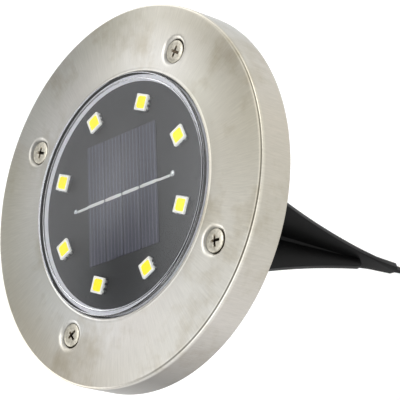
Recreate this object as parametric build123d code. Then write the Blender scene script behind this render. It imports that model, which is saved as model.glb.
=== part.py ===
from build123d import *
import os
from math import cos, radians, sin, sqrt

# Solar garden light for the ground: a flat round lamp head on a soil spike.
# +Z points up out of the soil. The origin is on the lamp's axis, in the plane
# of the rim's lower edge, which lies on the soil. All sizes are millimetres.

# ---- Lens, a clear cap that stands up through the steel ring ----
lens_radius = 36.5           # outside of the cap's wall
lens_top = 13.0              # height of the cap's flat top
lens_plate = 1.2             # thickness of the flat top
lens_wall = 1.6              # thickness of the upright wall
lens_edge = 0.7              # rounding of the top edge
lens_flange_width = 2.7      # flange that the ring holds down
lens_flange_thickness = 1.5
flange_clearance = 0.1       # under the ring's face

# ---- Steel cover ring ----
ring_width = 20.35           # from the opening to the outside of the rim
ring_gap = 0.65              # between the cap's wall and the ring's opening
ring_height = 11.3           # lower edge of the rim to the face's outer edge
ring_rise = 0.2              # how much the face climbs towards the lip
lip_rise = 0.25              # raised lip around the opening
lip_width = 0.9              # from the opening to the foot of the lip
lip_round = 0.35             # rounding of the lip's edge at the opening
sheet = 0.5                  # steel sheet thickness
rim_round = 0.9              # rounding between face and rim

# ---- Cover screws ----
screw_count = 4
screw_inset = 7.25           # from the ring's opening to the screw circle
screw_head_radius = 3.45
screw_head_height = 1.7
screw_head_drop = 0.4        # head top below the ring's face
screw_head_rim = 0.6         # height of the head's edge, above its cone
screw_head_round = 0.3
screw_neck_radius = 1.9      # foot of the head's cone
screw_shank_radius = 1.5
screw_length = 8.5           # shank under the head
screw_turns = [30, 0, 12, 63]  # how far each screw was driven, in degrees
recess_radius = 1.95         # cross recess
recess_slot = 0.95
recess_depth = 1.2
dimple_radius = 3.95         # dimple in the ring that takes a head
dimple_floor_radius = 3.6
screw_hole_clearance = 0.15

# ---- Circuit board with its lights ----
board_thickness = 1.6
board_gap = 0.6              # between the board's edge and the cap's wall
board_turn = 10.3            # the board's turn against the screws, degrees
led_count = 8
led_size = 4.9
led_height = 1.5
led_gap = 0.1                # between the lights and the cap
led_inset = 6.8              # from the board's edge to the circle of lights
led_window = 3.7
led_window_depth = 0.6
lead_width = 0.8             # solder leads at two sides of each light
lead_pitch = 1.5
lead_reach = 0.25
lead_height = 0.7

# ---- Solar cell strips ----
strip_count = 4
strip_gap = 0.2              # between neighbouring strips
strip_thickness = 0.3
array_clearance = 0.9        # between the array's corners and the lights
array_aspect = 1.23          # strip length over the width of all the strips
ribbon_width = 1.0
ribbon_thickness = 0.15
ribbon_break = 0.5           # bare gap between two stretches of ribbon
ribbon_tail = 5.0            # bent lead from the outer strips to the joints
tail_width = 0.8
solder_radius = 1.0
solder_height = 0.5

# ---- Rechargeable cell, the standard AAA size ----
cell_diameter = 10.5
cell_length = 44.5
cell_clearance = 0.5         # over and under the cell
cell_sleeve = 0.15
cap_radius = 1.9
cap_length = 0.8
tab_width = 3.0
tab_thickness = 0.2
tab_reach = 4.0
saddle_thickness = 2.0
saddle_spread = 14.0         # saddles each side of the cell's middle
saddle_clearance = 0.15

# ---- Housing ----
wall = 2.0
housing_gap = 0.3            # between the housing's edge and the steel rim
ledge_width = 3.0            # ledge that the board lies on
seal_width = 1.3
seal_depth = 1.0
bead_gap = 0.05              # between the silicone and the cap
bead_rise = 0.85             # how far the silicone climbs the cap's wall above the board
bead_reach = 0.95            # how far it reaches over the board's edge
boss_radius = 4.0
bowl_round = 2.5
gusset_count = 6
gusset_thickness = 1.6
gusset_reach = 7.0

# ---- Socket and spike ----
plug_radius = 7.95
plug_clearance = 0.05        # running fit of the plug in its socket
plug_length = 15.8
socket_spare = 0.2           # over the plug's end
socket_wall = 2.5
socket_drop = 9.0            # how far the socket stands below the bowl
collar_radius = 21.5
collar_thickness = 2.5
spike_length = 92.5          # from the collar's underside to the point
fin_thickness = 2.0
fin_turn = 52.0              # the long blade's turn against the screws
fin_mid_radius = 13.4        # half width of the blades at fin_mid_drop
fin_mid_drop = 25.0
fin_low_radius = 3.8         # half width where the short blade ends
fin_low_drop = 66.0
neck_radius = 2.5            # long blade below the short blade's end
blade_end_radius = 1.9
blade_end_drop = 84.5
point_radius = 0.8
core_radius = 1.7
corner_round = 1.0

# ---- Switch and its push button ----
button_radius = 3.5
button_clearance = 0.3
button_travel = 1.5
button_stand = 2.2           # how far the cap shows below the guard
button_offset = 29.0         # from the lamp's axis
guard_wall = 1.4
guard_drop = 1.5
switch_side = 7.0
switch_height = 12.0
plunger_side = 2.6
leg_width = 0.5

# ---- Parts under the board ----
chip_length = 4.9
chip_width = 3.9
chip_height = 1.5
drum_radius = 3.0
drum_height = 5.0
coil_radius = 2.7
coil_height = 3.2
capacitor_length = 3.2
capacitor_width = 1.6
wire_radius = 0.6
wire_bend = 3.6
wire_step_x = 7.0             # sideways step of a wire on its way up
wire_step_y = 6.0

# ---- Heights and radii that follow ----
opening_radius = lens_radius + ring_gap
ring_radius = opening_radius + ring_width
screw_circle = opening_radius + screw_inset
lens_inner_radius = lens_radius - lens_wall
flange_radius = lens_radius + lens_flange_width
lip_top = ring_height + ring_rise + lip_rise
face_slope = ring_rise / (ring_width - rim_round - lip_width)
face_at_screw = ring_height + ring_rise - face_slope * (screw_inset - lip_width)
head_top = face_at_screw - screw_head_drop
dimple_floor = head_top - screw_head_height
flange_top = ring_height + ring_rise - sheet - flange_clearance
flange_bottom = flange_top - lens_flange_thickness
board_radius = lens_inner_radius - board_gap
board_top = lens_top - lens_plate - led_gap - led_height
board_bottom = board_top - board_thickness
led_circle = board_radius - led_inset
array_radius = led_circle - led_size / 2 - array_clearance
array_width = 2 * array_radius / sqrt(1 + array_aspect ** 2)
strip_length = array_width * array_aspect
strip_pitch = array_width / strip_count
ribbon_turn = board_turn + 180 / led_count
bowl_radius = lens_radius - 0.5
housing_radius = ring_radius - sheet - housing_gap
bowl_floor = -(cell_diameter + cell_clearance)
bowl_bottom = bowl_floor - wall
socket_mouth = bowl_bottom - socket_drop
socket_radius = plug_radius + plug_clearance
socket_outer = socket_radius + socket_wall
socket_ceiling = socket_mouth + plug_length + socket_spare
collar_bottom = socket_mouth - collar_thickness
spike_tip = collar_bottom - spike_length
cell_y = socket_outer + 1.25 + cell_diameter / 2
cell_z = bowl_floor + cell_clearance / 2 + cell_diameter / 2
guard_bottom = bowl_bottom - guard_drop
button_bottom = guard_bottom - button_stand
button_top = bowl_floor - 0.1
switch_bottom = bowl_floor + button_travel + 1.2


def disc(radius, low, high, x=0.0, y=0.0):
    """A round slab between two heights."""
    return Pos(x, y, low) * Cylinder(radius, high - low, align=(Align.CENTER, Align.CENTER, Align.MIN))


def tube(outer, inner, low, high, x=0.0, y=0.0):
    """A round wall between two heights."""
    return disc(outer, low, high, x, y) - disc(inner, low - 1, high + 1, x, y)


def block(length, width, low, high, x=0.0, y=0.0, turn=0.0):
    """A straight block between two heights."""
    centred = (Align.CENTER, Align.CENTER, Align.MIN)
    return Pos(x, y, low) * Rot(0, 0, turn) * Box(length, width, high - low, align=centred)


def spread(piece, count, turn=0.0):
    """Equal copies of a piece around the lamp's axis."""
    return [Rot(0, 0, turn + 360 / count * i) * piece for i in range(count)]


def turned(points_and_arcs):
    """A solid turned about the lamp's axis from its closed section edges."""
    return revolve(Plane.XZ * make_face(points_and_arcs), Axis.Z)


def steel_ring():
    """Pressed cover: upright rim, flat face with a lip, a dimple for each screw."""
    inner_round = rim_round - sheet
    corner = ring_radius - rim_round
    foot = (opening_radius + lip_width, ring_height + ring_rise)
    crest = (opening_radius + lip_round, lip_top)
    top_face = Polyline(crest, (opening_radius + lip_width * 0.55, lip_top - 0.12), foot, (corner, ring_height))
    lip_edge = RadiusArc((opening_radius, lip_top - lip_round), crest, lip_round)
    outside_round = RadiusArc((corner, ring_height), (ring_radius, ring_height - rim_round), rim_round)
    skirt = Polyline(
        (ring_radius, ring_height - rim_round),
        (ring_radius, 0),
        (ring_radius - sheet, 0),
        (ring_radius - sheet, ring_height - rim_round),
    )
    inside_round = RadiusArc(
        (ring_radius - sheet, ring_height - rim_round), (corner, ring_height - sheet), -inner_round
    )
    under = Polyline(
        (corner, ring_height - sheet),
        (foot[0] - 0.2, foot[1] - sheet),
        (opening_radius + lip_width * 0.5, lip_top - 0.12 - sheet),
        (opening_radius, lip_top - lip_round - sheet * 0.4),
        (opening_radius, lip_top - lip_round),
    )
    ring = turned([lip_edge, top_face, outside_round, skirt, inside_round, under])
    depth = face_at_screw - dimple_floor
    cup = Pos(screw_circle, 0, dimple_floor - sheet) * Cone(
        dimple_floor_radius + sheet, dimple_radius + sheet, depth, align=(Align.CENTER, Align.CENTER, Align.MIN)
    )
    flare = (dimple_radius - dimple_floor_radius) / depth
    hollow = Pos(screw_circle, 0, dimple_floor) * Cone(
        dimple_floor_radius, dimple_radius + flare, depth + 1, align=(Align.CENTER, Align.CENTER, Align.MIN)
    )
    hole = disc(screw_shank_radius + screw_hole_clearance, dimple_floor - 2, dimple_floor + 1, screw_circle)
    for one in spread(cup, screw_count):
        ring = ring + one
    for one in spread(hollow, screw_count):
        ring = ring - one
    for one in spread(hole, screw_count):
        ring = ring - one
    return ring


def cover_screw(turn):
    """One self-tapping screw with a flat countersunk head and a cross recess."""
    head = fillet(
        disc(screw_head_radius, head_top - screw_head_rim, head_top).edges().group_by(Axis.Z)[-1], screw_head_round
    )
    cone_height = screw_head_height - screw_head_rim
    cone = Pos(0, 0, dimple_floor) * Cone(
        screw_neck_radius, screw_head_radius, cone_height, align=(Align.CENTER, Align.CENTER, Align.MIN)
    )
    shank = disc(screw_shank_radius, dimple_floor - screw_length + 1.5, dimple_floor)
    point = Pos(0, 0, dimple_floor - screw_length) * Cone(
        0.4, screw_shank_radius, 1.5, align=(Align.CENTER, Align.CENTER, Align.MIN)
    )
    slots = block(2 * recess_radius, recess_slot, head_top - recess_depth, head_top + 1)
    slots = slots + block(recess_slot, 2 * recess_radius, head_top - recess_depth, head_top + 1)
    taper = Pos(0, 0, head_top - recess_depth) * Cone(
        recess_slot, recess_radius, recess_depth, align=(Align.CENTER, Align.CENTER, Align.MIN)
    )
    return Pos(screw_circle, 0, 0) * Rot(0, 0, turn) * (head + cone + shank + point - (slots & taper))


def ring_screws():
    """The cover's screws, each turned as far as it was driven."""
    step = 360 / screw_count
    return [Rot(0, 0, step * i) * cover_screw(screw_turns[i % len(screw_turns)]) for i in range(screw_count)]


def lens():
    """Clear cap: flat top with a rounded edge, upright wall and holding flange."""
    cap = fillet(disc(lens_radius, flange_bottom, lens_top).edges().group_by(Axis.Z)[-1], lens_edge)
    cap = cap + disc(flange_radius, flange_bottom, flange_top)
    return cap - disc(lens_inner_radius, flange_bottom - 1, lens_top - lens_plate)


def seal_radius():
    """Middle of the seal's section, under the middle of the lens flange."""
    return bowl_radius + (flange_radius - bowl_radius) / 2


def lens_seal():
    """Square-section rubber ring in the housing's groove."""
    middle = seal_radius()
    return tube(middle + seal_width / 2, middle - seal_width / 2, flange_bottom - seal_depth, flange_bottom)


def sealant_bead():
    """White silicone under the cap's wall and up its inside, onto the board's edge."""
    inner = board_radius + 2 * bead_gap
    climb = lens_inner_radius - bead_gap
    section = Polyline(
        (inner, board_bottom),
        (bowl_radius, board_bottom),
        (bowl_radius, flange_bottom - bead_gap),
        (climb, flange_bottom - bead_gap),
        (climb, board_top + bead_rise),
        (climb - bead_reach / 4, board_top + bead_rise),
        (climb - bead_reach, board_top + bead_rise / 8),
        (climb - bead_reach, board_top),
        (inner, board_top),
        close=True,
    )
    return turned(section)


def saddle(side):
    """One upright in the bowl that carries the cell."""
    upright = block(saddle_thickness, cell_diameter + 2, bowl_floor - 0.5, cell_z, side * saddle_spread, cell_y)
    seat = Pos(side * saddle_spread, cell_y, cell_z) * Rot(0, 90, 0) * Cylinder(
        cell_diameter / 2 + saddle_clearance, saddle_thickness + 2
    )
    return upright - seat


def housing():
    """Black moulded body: deck inside the ring, bowl, board ledge and socket."""
    deck = disc(housing_radius, 0, wall)
    edge = tube(housing_radius, housing_radius - wall, 0, ring_height - rim_round - sheet)
    bowl = fillet(
        disc(bowl_radius + wall, bowl_bottom, wall).edges().group_by(Axis.Z)[0], bowl_round
    )
    seat = disc(flange_radius, 0, flange_bottom)
    body = deck + edge + bowl + seat
    ledge_radius = bowl_radius - ledge_width
    body = body - disc(ledge_radius, bowl_floor, board_bottom)
    body = body - disc(bowl_radius, board_bottom, flange_bottom + 1)
    room = disc(bowl_radius, bowl_floor, board_bottom - ledge_width)
    funnel = Pos(0, 0, board_bottom - ledge_width) * Cone(
        bowl_radius, ledge_radius, ledge_width, align=(Align.CENTER, Align.CENTER, Align.MIN)
    )
    body = body - room - funnel
    body = body - lens_seal()
    boss = disc(boss_radius, 0, dimple_floor - sheet, screw_circle)
    for one in spread(boss, screw_count):
        body = body + one
    pilot = disc(screw_shank_radius + plug_clearance, dimple_floor - screw_length - 0.5, ring_height, screw_circle)
    for one in spread(pilot, screw_count):
        body = body - one
    socket = disc(socket_outer, socket_mouth, socket_ceiling + wall)
    gusset = socket_gusset()
    body = body + socket
    for one in spread(gusset, gusset_count, 90 / gusset_count):
        body = body + one
    body = body - disc(socket_radius, socket_mouth - 1, socket_ceiling)
    body = body + saddle(-1) + saddle(1)
    guard = disc(button_radius + button_clearance + guard_wall, guard_bottom, bowl_floor, 0, -button_offset)
    opening = disc(button_radius + button_clearance, guard_bottom - 1, bowl_floor + 1, 0, -button_offset)
    return body + guard - opening


def socket_gusset():
    """One web between the bowl's underside and the socket's wall."""
    web = Polyline(
        (socket_outer - 0.5, bowl_bottom + 0.5),
        (socket_outer + gusset_reach, bowl_bottom + 0.5),
        (socket_outer + gusset_reach, bowl_bottom),
        (socket_outer, socket_mouth + 2),
        (socket_outer - 0.5, socket_mouth + 2),
        close=True,
    )
    return extrude(Plane.XZ * make_face(web), gusset_thickness / 2, both=True)


def led_board():
    """Round black circuit board."""
    return disc(board_radius, board_bottom, board_top)


def led_body():
    """White frame of one light, with a well for its window."""
    frame = block(led_size, led_size, board_top, board_top + led_height, led_circle)
    well = block(led_window, led_window, board_top + led_height - led_window_depth, lens_top, led_circle)
    well = fillet(well.edges().filter_by(Axis.Z), 0.6)
    return fillet(frame.edges().filter_by(Axis.Z), 0.25) - well


def led_pane():
    """Yellow phosphor window of one light, a little below its frame."""
    top = board_top + led_height
    pane = block(led_window, led_window, top - led_window_depth, top - 0.08, led_circle)
    return fillet(pane.edges().filter_by(Axis.Z), 0.6)


def led_leads():
    """Bent metal leads at two sides of every light."""
    leads = []
    for side in (-1, 1):
        for i in (-1, 0, 1):
            y = side * (led_size + lead_reach) / 2
            x = led_circle + i * lead_pitch
            leads.append(block(lead_width, lead_reach, board_top, board_top + lead_height, x, y))
    return [piece for lead in leads for piece in spread(lead, led_count, board_turn)]


def strip_place(index):
    """Middle of one solar strip across the array."""
    return (index - (strip_count - 1) / 2) * strip_pitch


def solar_strip(index):
    """One strip of dark solar cell."""
    top = board_top + strip_thickness
    width = strip_pitch - strip_gap
    return Rot(0, 0, ribbon_turn) * block(width, strip_length, board_top, top, strip_place(index))


def cell_ribbons():
    """Silver ribbon across the middle of each strip."""
    low = board_top + strip_thickness
    length = strip_pitch - ribbon_break
    pieces = []
    for i in range(strip_count):
        ribbon = block(length, ribbon_width, low, low + ribbon_thickness, strip_place(i))
        pieces.append(Rot(0, 0, ribbon_turn) * ribbon)
    return pieces


def ribbon_tails():
    """Narrow leads from the outer strips' edges down to the board's joints."""
    pieces = []
    for side in (-1, 1):
        start = side * (array_width / 2 + strip_gap)
        middle = start + side * ribbon_tail / 2
        tail = block(ribbon_tail, tail_width, board_top, board_top + ribbon_thickness, middle)
        pieces.append(Rot(0, 0, ribbon_turn) * tail)
    return pieces


def solder_joints():
    """Rounded solder joints at the outer ends of the tails."""
    pieces = []
    for side, size in ((-1, 0.75), (1, 1.0)):
        place = side * (array_width / 2 + strip_gap + ribbon_tail + solder_radius * size)
        blob = disc(solder_radius * size, board_top, board_top + solder_height * size, place)
        blob = fillet(blob.edges().group_by(Axis.Z)[-1], solder_height * size * 0.8)
        pieces.append(Rot(0, 0, ribbon_turn) * blob)
    return pieces


def along_cell(radius, start, end):
    """A round piece on the cell's axis."""
    return Pos((start + end) / 2, cell_y, cell_z) * Rot(0, 90, 0) * Cylinder(radius, end - start)


def cell_can():
    """Steel can of the rechargeable cell with its raised end."""
    half = cell_length / 2
    can = along_cell(cell_diameter / 2 - cell_sleeve, -half, half - cap_length)
    return can + along_cell(cap_radius, half - cap_length - 0.2, half)


def cell_wrap():
    """Shrunk plastic sleeve around the can, turned in over both ends."""
    half = cell_length / 2
    outside = along_cell(cell_diameter / 2, -half + 0.4, half - cap_length - 0.4)
    return outside - along_cell(cell_diameter / 2 - cell_sleeve, -half, half)


def cell_tabs():
    """Nickel strips welded to the cell's two ends."""
    half = cell_length / 2
    pieces = []
    for side in (-1, 1):
        low = cell_z - 1.2
        x = side * (half + tab_thickness / 2)
        pieces.append(block(tab_thickness, tab_width, low, cell_z + tab_reach, x, cell_y))
    return pieces


def cell_wire(side):
    """Insulated lead from one cell tab up to the board's underside."""
    x = side * (cell_length / 2 + tab_thickness + wire_radius)
    top = cell_z + tab_reach
    rise = board_bottom - top
    path = FilletPolyline(
        (x, cell_y, top - 2.5),
        (x, cell_y, top + rise * 0.35),
        (x - side * wire_step_x, cell_y - wire_step_y, top + rise * 0.65),
        (x - side * wire_step_x, cell_y - wire_step_y, board_bottom),
        radius=[wire_bend, wire_bend],
    )
    section = Plane(origin=path @ 0, z_dir=path % 0) * Circle(wire_radius)
    return sweep(section, path)


def driver_chip():
    """Small charge and light driver under the board."""
    body = block(chip_length, chip_width, board_bottom - chip_height, board_bottom - 0.1, -14, -10)
    return chamfer(body.edges().group_by(Axis.Z)[0], 0.25)


def driver_legs():
    """Metal legs of the driver."""
    pieces = []
    for side in (-1, 1):
        for i in range(4):
            x = -14 + (i - 1.5) * 1.27
            y = -10 + side * (chip_width / 2 + 0.5)
            pieces.append(block(0.4, 1.0, board_bottom - 0.8, board_bottom, x, y))
    return pieces


def inductor_drum():
    """Ferrite drum of the driver's coil."""
    core = disc(drum_radius, board_bottom - drum_height, board_bottom, 14, -10)
    groove_low = board_bottom - (drum_height + coil_height) / 2
    groove = tube(drum_radius + 1, drum_radius / 2, groove_low, groove_low + coil_height, 14, -10)
    return core - groove


def inductor_coil():
    """Copper winding in the drum's groove."""
    low = board_bottom - (drum_height + coil_height) / 2
    return tube(coil_radius, drum_radius / 2, low, low + coil_height, 14, -10)


def chip_capacitor():
    """Ceramic capacitor beside the driver."""
    return block(capacitor_length, capacitor_width, board_bottom - 1.2, board_bottom, 0, -17)


def switch_body():
    """Latching switch on legs, over the button, with room for its plunger."""
    body = block(switch_side, switch_side, switch_bottom, switch_bottom + switch_height, 0, -button_offset + 1)
    room = block(
        plunger_side + 0.4, plunger_side + 0.4, switch_bottom - 1, switch_bottom + button_travel + 1.2, 0,
        -button_offset,
    )
    return body - room


def switch_legs():
    """Two metal legs that hold the switch to the board."""
    pieces = []
    for side in (-1, 1):
        low = switch_bottom + switch_height
        pieces.append(block(leg_width, leg_width, low, board_bottom, side * 2.2, -button_offset + 3))
    return pieces


def button_cap():
    """Round push cap that shows under the bowl."""
    cap = fillet(
        disc(button_radius, button_bottom, button_top, 0, -button_offset).edges().group_by(Axis.Z)[0], 0.8
    )
    rib = block(4.0, 0.5, button_bottom - 0.3, button_bottom + 0.4, 0, -button_offset)
    for shift in (-1.2, 0.0, 1.2):
        cap = cap + Pos(0, shift, 0) * rib
    return cap


def switch_plunger():
    """Square plunger between the cap and the switch."""
    top = switch_bottom + 1.0
    return block(plunger_side, plunger_side, button_top, top, 0, -button_offset)


def blade(outline):
    """A flat blade of the spike, both halves, from its half outline."""
    half = extrude(Plane.XZ * make_face(outline), fin_thickness / 2, both=True)
    return half + Rot(0, 0, 180) * half


def long_blade():
    """The blade that runs down to the point."""
    top = collar_bottom + 0.5
    low = collar_bottom - fin_low_drop
    end = collar_bottom - blade_end_drop
    flank = ThreePointArc(
        (collar_radius, collar_bottom), (fin_mid_radius, collar_bottom - fin_mid_drop), (fin_low_radius, low)
    )
    outline = [
        Polyline((0, top), (collar_radius, top), (collar_radius, collar_bottom)),
        flank,
        Polyline(
            (fin_low_radius, low),
            (neck_radius, low - (blade_end_drop - fin_low_drop) * 0.45),
            (blade_end_radius, end),
            (point_radius, end - 1.2),
            (point_radius * 0.35, spike_tip),
            (0, spike_tip),
            (0, top),
        ),
    ]
    return blade(outline)


def short_blade():
    """The crossing blade, which ends in a rounded corner above the point."""
    top = collar_bottom + 0.5
    low = collar_bottom - fin_low_drop
    flank = ThreePointArc(
        (collar_radius, collar_bottom), (fin_mid_radius, collar_bottom - fin_mid_drop), (fin_low_radius, low)
    )
    corner = ThreePointArc(
        (fin_low_radius, low),
        (fin_low_radius - corner_round * 0.35, low - corner_round * 0.8),
        (fin_low_radius - corner_round * 1.3, low - corner_round),
    )
    outline = [
        Polyline((0, top), (collar_radius, top), (collar_radius, collar_bottom)),
        flank,
        corner,
        Polyline((fin_low_radius - corner_round * 1.3, low - corner_round), (0, low - corner_round), (0, top)),
    ]
    return blade(outline)


def spike():
    """Moulded soil spike: plug, collar, and two crossing blades on a core."""
    plug = disc(plug_radius, collar_bottom, socket_mouth + plug_length)
    plug = chamfer(plug.edges().group_by(Axis.Z)[-1], 0.8)
    collar = fillet(
        disc(collar_radius, collar_bottom, socket_mouth).edges().group_by(Axis.Z)[-1], 0.6
    )
    core = Pos(0, 0, collar_bottom - fin_low_drop) * Cone(
        core_radius * 0.75, core_radius * 1.6, fin_low_drop, align=(Align.CENTER, Align.CENTER, Align.MIN)
    )
    blades = Rot(0, 0, fin_turn) * (long_blade() + Rot(0, 0, 90) * short_blade())
    return plug + collar + core + blades


def around_board(piece):
    """Copies of a piece at every light's place on the board."""
    return spread(piece, led_count, board_turn)


def all_nodes():
    """Every node of the lamp, by name."""
    nodes = {
        "steel_ring": steel_ring(),
        "ring_screws": ring_screws(),
        "lens": lens(),
        "lens_seal": lens_seal(),
        "sealant_bead": sealant_bead(),
        "housing": housing(),
        "led_board": led_board(),
        "led_bodies": around_board(led_body()),
        "led_windows": around_board(led_pane()),
        "led_leads": led_leads(),
        "cell_ribbons": cell_ribbons(),
        "ribbon_tails": ribbon_tails(),
        "solder_joints": solder_joints(),
        "battery_can": cell_can(),
        "battery_sleeve": cell_wrap(),
        "battery_tabs": cell_tabs(),
        "positive_wire": cell_wire(1),
        "negative_wire": cell_wire(-1),
        "driver_chip": driver_chip(),
        "driver_legs": driver_legs(),
        "inductor_drum": inductor_drum(),
        "inductor_coil": inductor_coil(),
        "chip_capacitor": chip_capacitor(),
        "switch_body": switch_body(),
        "switch_legs": switch_legs(),
        "switch_plunger": switch_plunger(),
        "button_cap": button_cap(),
        "spike": spike(),
    }
    for i in range(strip_count):
        nodes[f"solar_strip_{i + 1}"] = solar_strip(i)
    return nodes


os.makedirs("parts", exist_ok=True)
for name, shape in all_nodes().items():
    solids = []
    for piece in shape if isinstance(shape, list) else [shape]:
        solids.extend(piece.solids())
    node = solids[0] if len(solids) == 1 else Compound(children=solids)
    export_step(node, f"parts/{name}.step")
print(f"outer diameter {2 * ring_radius:.1f}, height {lens_top - spike_tip:.1f}")
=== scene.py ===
"""Looks of a solar garden light: steel cover ring, clear cap, light board and soil spike."""

import logging
import math
from collections.abc import Callable, Iterator, Sequence
from contextlib import contextmanager
from dataclasses import dataclass, field
from enum import Enum

import bmesh
import bpy
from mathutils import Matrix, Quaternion, Vector


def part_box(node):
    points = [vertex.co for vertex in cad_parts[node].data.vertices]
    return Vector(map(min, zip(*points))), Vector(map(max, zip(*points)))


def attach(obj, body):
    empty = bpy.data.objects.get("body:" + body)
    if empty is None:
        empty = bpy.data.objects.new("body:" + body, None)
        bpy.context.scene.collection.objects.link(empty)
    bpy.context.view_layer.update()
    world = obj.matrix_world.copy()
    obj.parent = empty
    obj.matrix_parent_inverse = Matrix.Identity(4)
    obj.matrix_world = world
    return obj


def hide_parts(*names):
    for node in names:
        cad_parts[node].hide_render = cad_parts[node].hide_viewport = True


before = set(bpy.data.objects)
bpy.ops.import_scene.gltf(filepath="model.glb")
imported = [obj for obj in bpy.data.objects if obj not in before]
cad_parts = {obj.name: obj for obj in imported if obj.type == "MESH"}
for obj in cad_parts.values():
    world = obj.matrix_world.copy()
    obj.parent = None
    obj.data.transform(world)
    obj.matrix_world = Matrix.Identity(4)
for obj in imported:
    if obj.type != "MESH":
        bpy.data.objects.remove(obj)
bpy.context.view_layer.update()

logging.basicConfig(level=logging.INFO, format="%(message)s")
log = logging.getLogger("garden_light")

MM = 0.001
Point = tuple[float, float]
Stops = tuple[tuple[float, str], ...]
Node = bpy.types.Node
Socket = tuple[Node, str]
Colour = Socket | tuple[float, float, float, float]
Piece = bpy.types.Object

CLOUD_SCALE = 260.0    # faint patches to the metre on a plain surface


class Part(Enum):
    """Which elements of a mesh a selection picks."""

    VERTS = "VERT"
    EDGES = "EDGE"
    FACES = "FACE"


class Blend(Enum):
    """How a tool changes the piece that it meets."""

    CUT = "DIFFERENCE"
    UNITE = "UNION"


class Body(Enum):
    """The CAD bodies that pieces ride on."""

    SPIKE = "spike"
    HEAD = "lamp_head"
    BUTTON = "push_button"


# ---------------------------------------------------------------- materials


def linear(code: str) -> tuple[float, float, float, float]:
    """Turn an sRGB hex colour into linear values.

    Args:
        code: six hex digits, with or without a leading #.

    Returns:
        Red, green, blue and an alpha of one.
    """
    digits = code.lstrip("#")
    values = [int(digits[i:i + 2], 16) / 255 for i in (0, 2, 4)]
    red, green, blue = [v / 12.92 if v <= 0.04045 else ((v + 0.055) / 1.055) ** 2.4 for v in values]
    return red, green, blue, 1.0


def add_node(
    tree: bpy.types.NodeTree, kind: str, settings: dict | None = None, inputs: dict | None = None
) -> Node:
    """Add a node with its settings, input values and links.

    Args:
        tree: the material's or world's node tree.
        kind: the node type, without its ShaderNode prefix.
        settings: node properties by name.
        inputs: socket values by name or number; a (node, output) pair makes a link.

    Returns:
        The new node.
    """
    node = tree.nodes.new("ShaderNode" + kind)
    for name, value in (settings or {}).items():
        setattr(node, name, value)
    for name, value in (inputs or {}).items():
        if isinstance(value, tuple) and isinstance(value[0], Node):
            tree.links.new(value[0].outputs[value[1]], node.inputs[name])
        else:
            node.inputs[name].default_value = value
    return node


@dataclass
class Graph:
    """A node tree with its shader, and short ways to add what the patterns share."""

    tree: bpy.types.NodeTree
    shader: Node

    def __post_init__(self) -> None:
        """Add the piece's own coordinates."""
        self.place: Socket = (add_node(self.tree, "TexCoord"), "Object")

    def feed(self, name: str, value: Socket) -> None:
        """Link a value to one of the shader's sockets."""
        self.tree.links.new(value[0].outputs[value[1]], self.shader.inputs[name])

    def math(self, how: str, *values: Socket | float) -> Socket:
        """Combine values by one operation."""
        return add_node(self.tree, "Math", {"operation": how}, dict(enumerate(values))), "Value"

    def vector(self, how: str, inputs: dict) -> Node:
        """Combine vectors by one operation."""
        return add_node(self.tree, "VectorMath", {"operation": how}, inputs)

    def axes(self, place: Socket) -> list[Socket]:
        """Split a place into X, Y and Z."""
        split = add_node(self.tree, "SeparateXYZ", inputs={"Vector": place})
        return [(split, axis) for axis in "XYZ"]

    def flat(self, x: Socket, y: Socket) -> Socket:
        """Join X and Y to a flat place."""
        return add_node(self.tree, "CombineXYZ", inputs={"X": x, "Y": y}), "Vector"

    def noise(self, place: Socket, scale: float, detail: float, roughness: float) -> Node:
        """Add noise with this many patches to the metre."""
        inputs = {"Vector": place, "Scale": scale, "Detail": detail, "Roughness": roughness}
        return add_node(self.tree, "TexNoise", inputs=inputs)

    def span(self, value: Socket, start: float, end: float, low: float = 0.0, high: float = 1.0) -> Socket:
        """Map start..end to low..high, held at both ends."""
        inputs = {"Value": value, "From Min": start, "From Max": end, "To Min": low, "To Max": high}
        return add_node(self.tree, "MapRange", inputs=inputs), "Result"

    def mix(self, factor: Socket | float, first: Colour, second: Colour, how: str = "MIX") -> Socket:
        """Mix two colours."""
        inputs = {"Factor": factor, "A": first, "B": second}
        return add_node(self.tree, "Mix", {"data_type": "RGBA", "blend_type": how}, inputs), "Result"

    def ramp(self, value: Socket, stops: Stops) -> Socket:
        """Turn a value into a colour.

        Args:
            value: what drives the colour.
            stops: position and hex colour of each stop, from low to high.

        Returns:
            The colour.
        """
        node = add_node(self.tree, "ValToRGB", inputs={"Fac": value})
        elements = node.color_ramp.elements
        while len(elements) < len(stops):
            elements.new(1.0)
        for element, (place, code) in zip(elements, stops):
            element.position = place
            element.color = linear(code)
        return node, "Color"

    def bump(self, height: Socket, strength: float, depth_mm: float) -> None:
        """Raise the surface by a height pattern."""
        inputs = {"Height": height, "Strength": strength, "Distance": depth_mm * MM}
        self.feed("Normal", (add_node(self.tree, "Bump", inputs=inputs), "Normal"))


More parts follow.
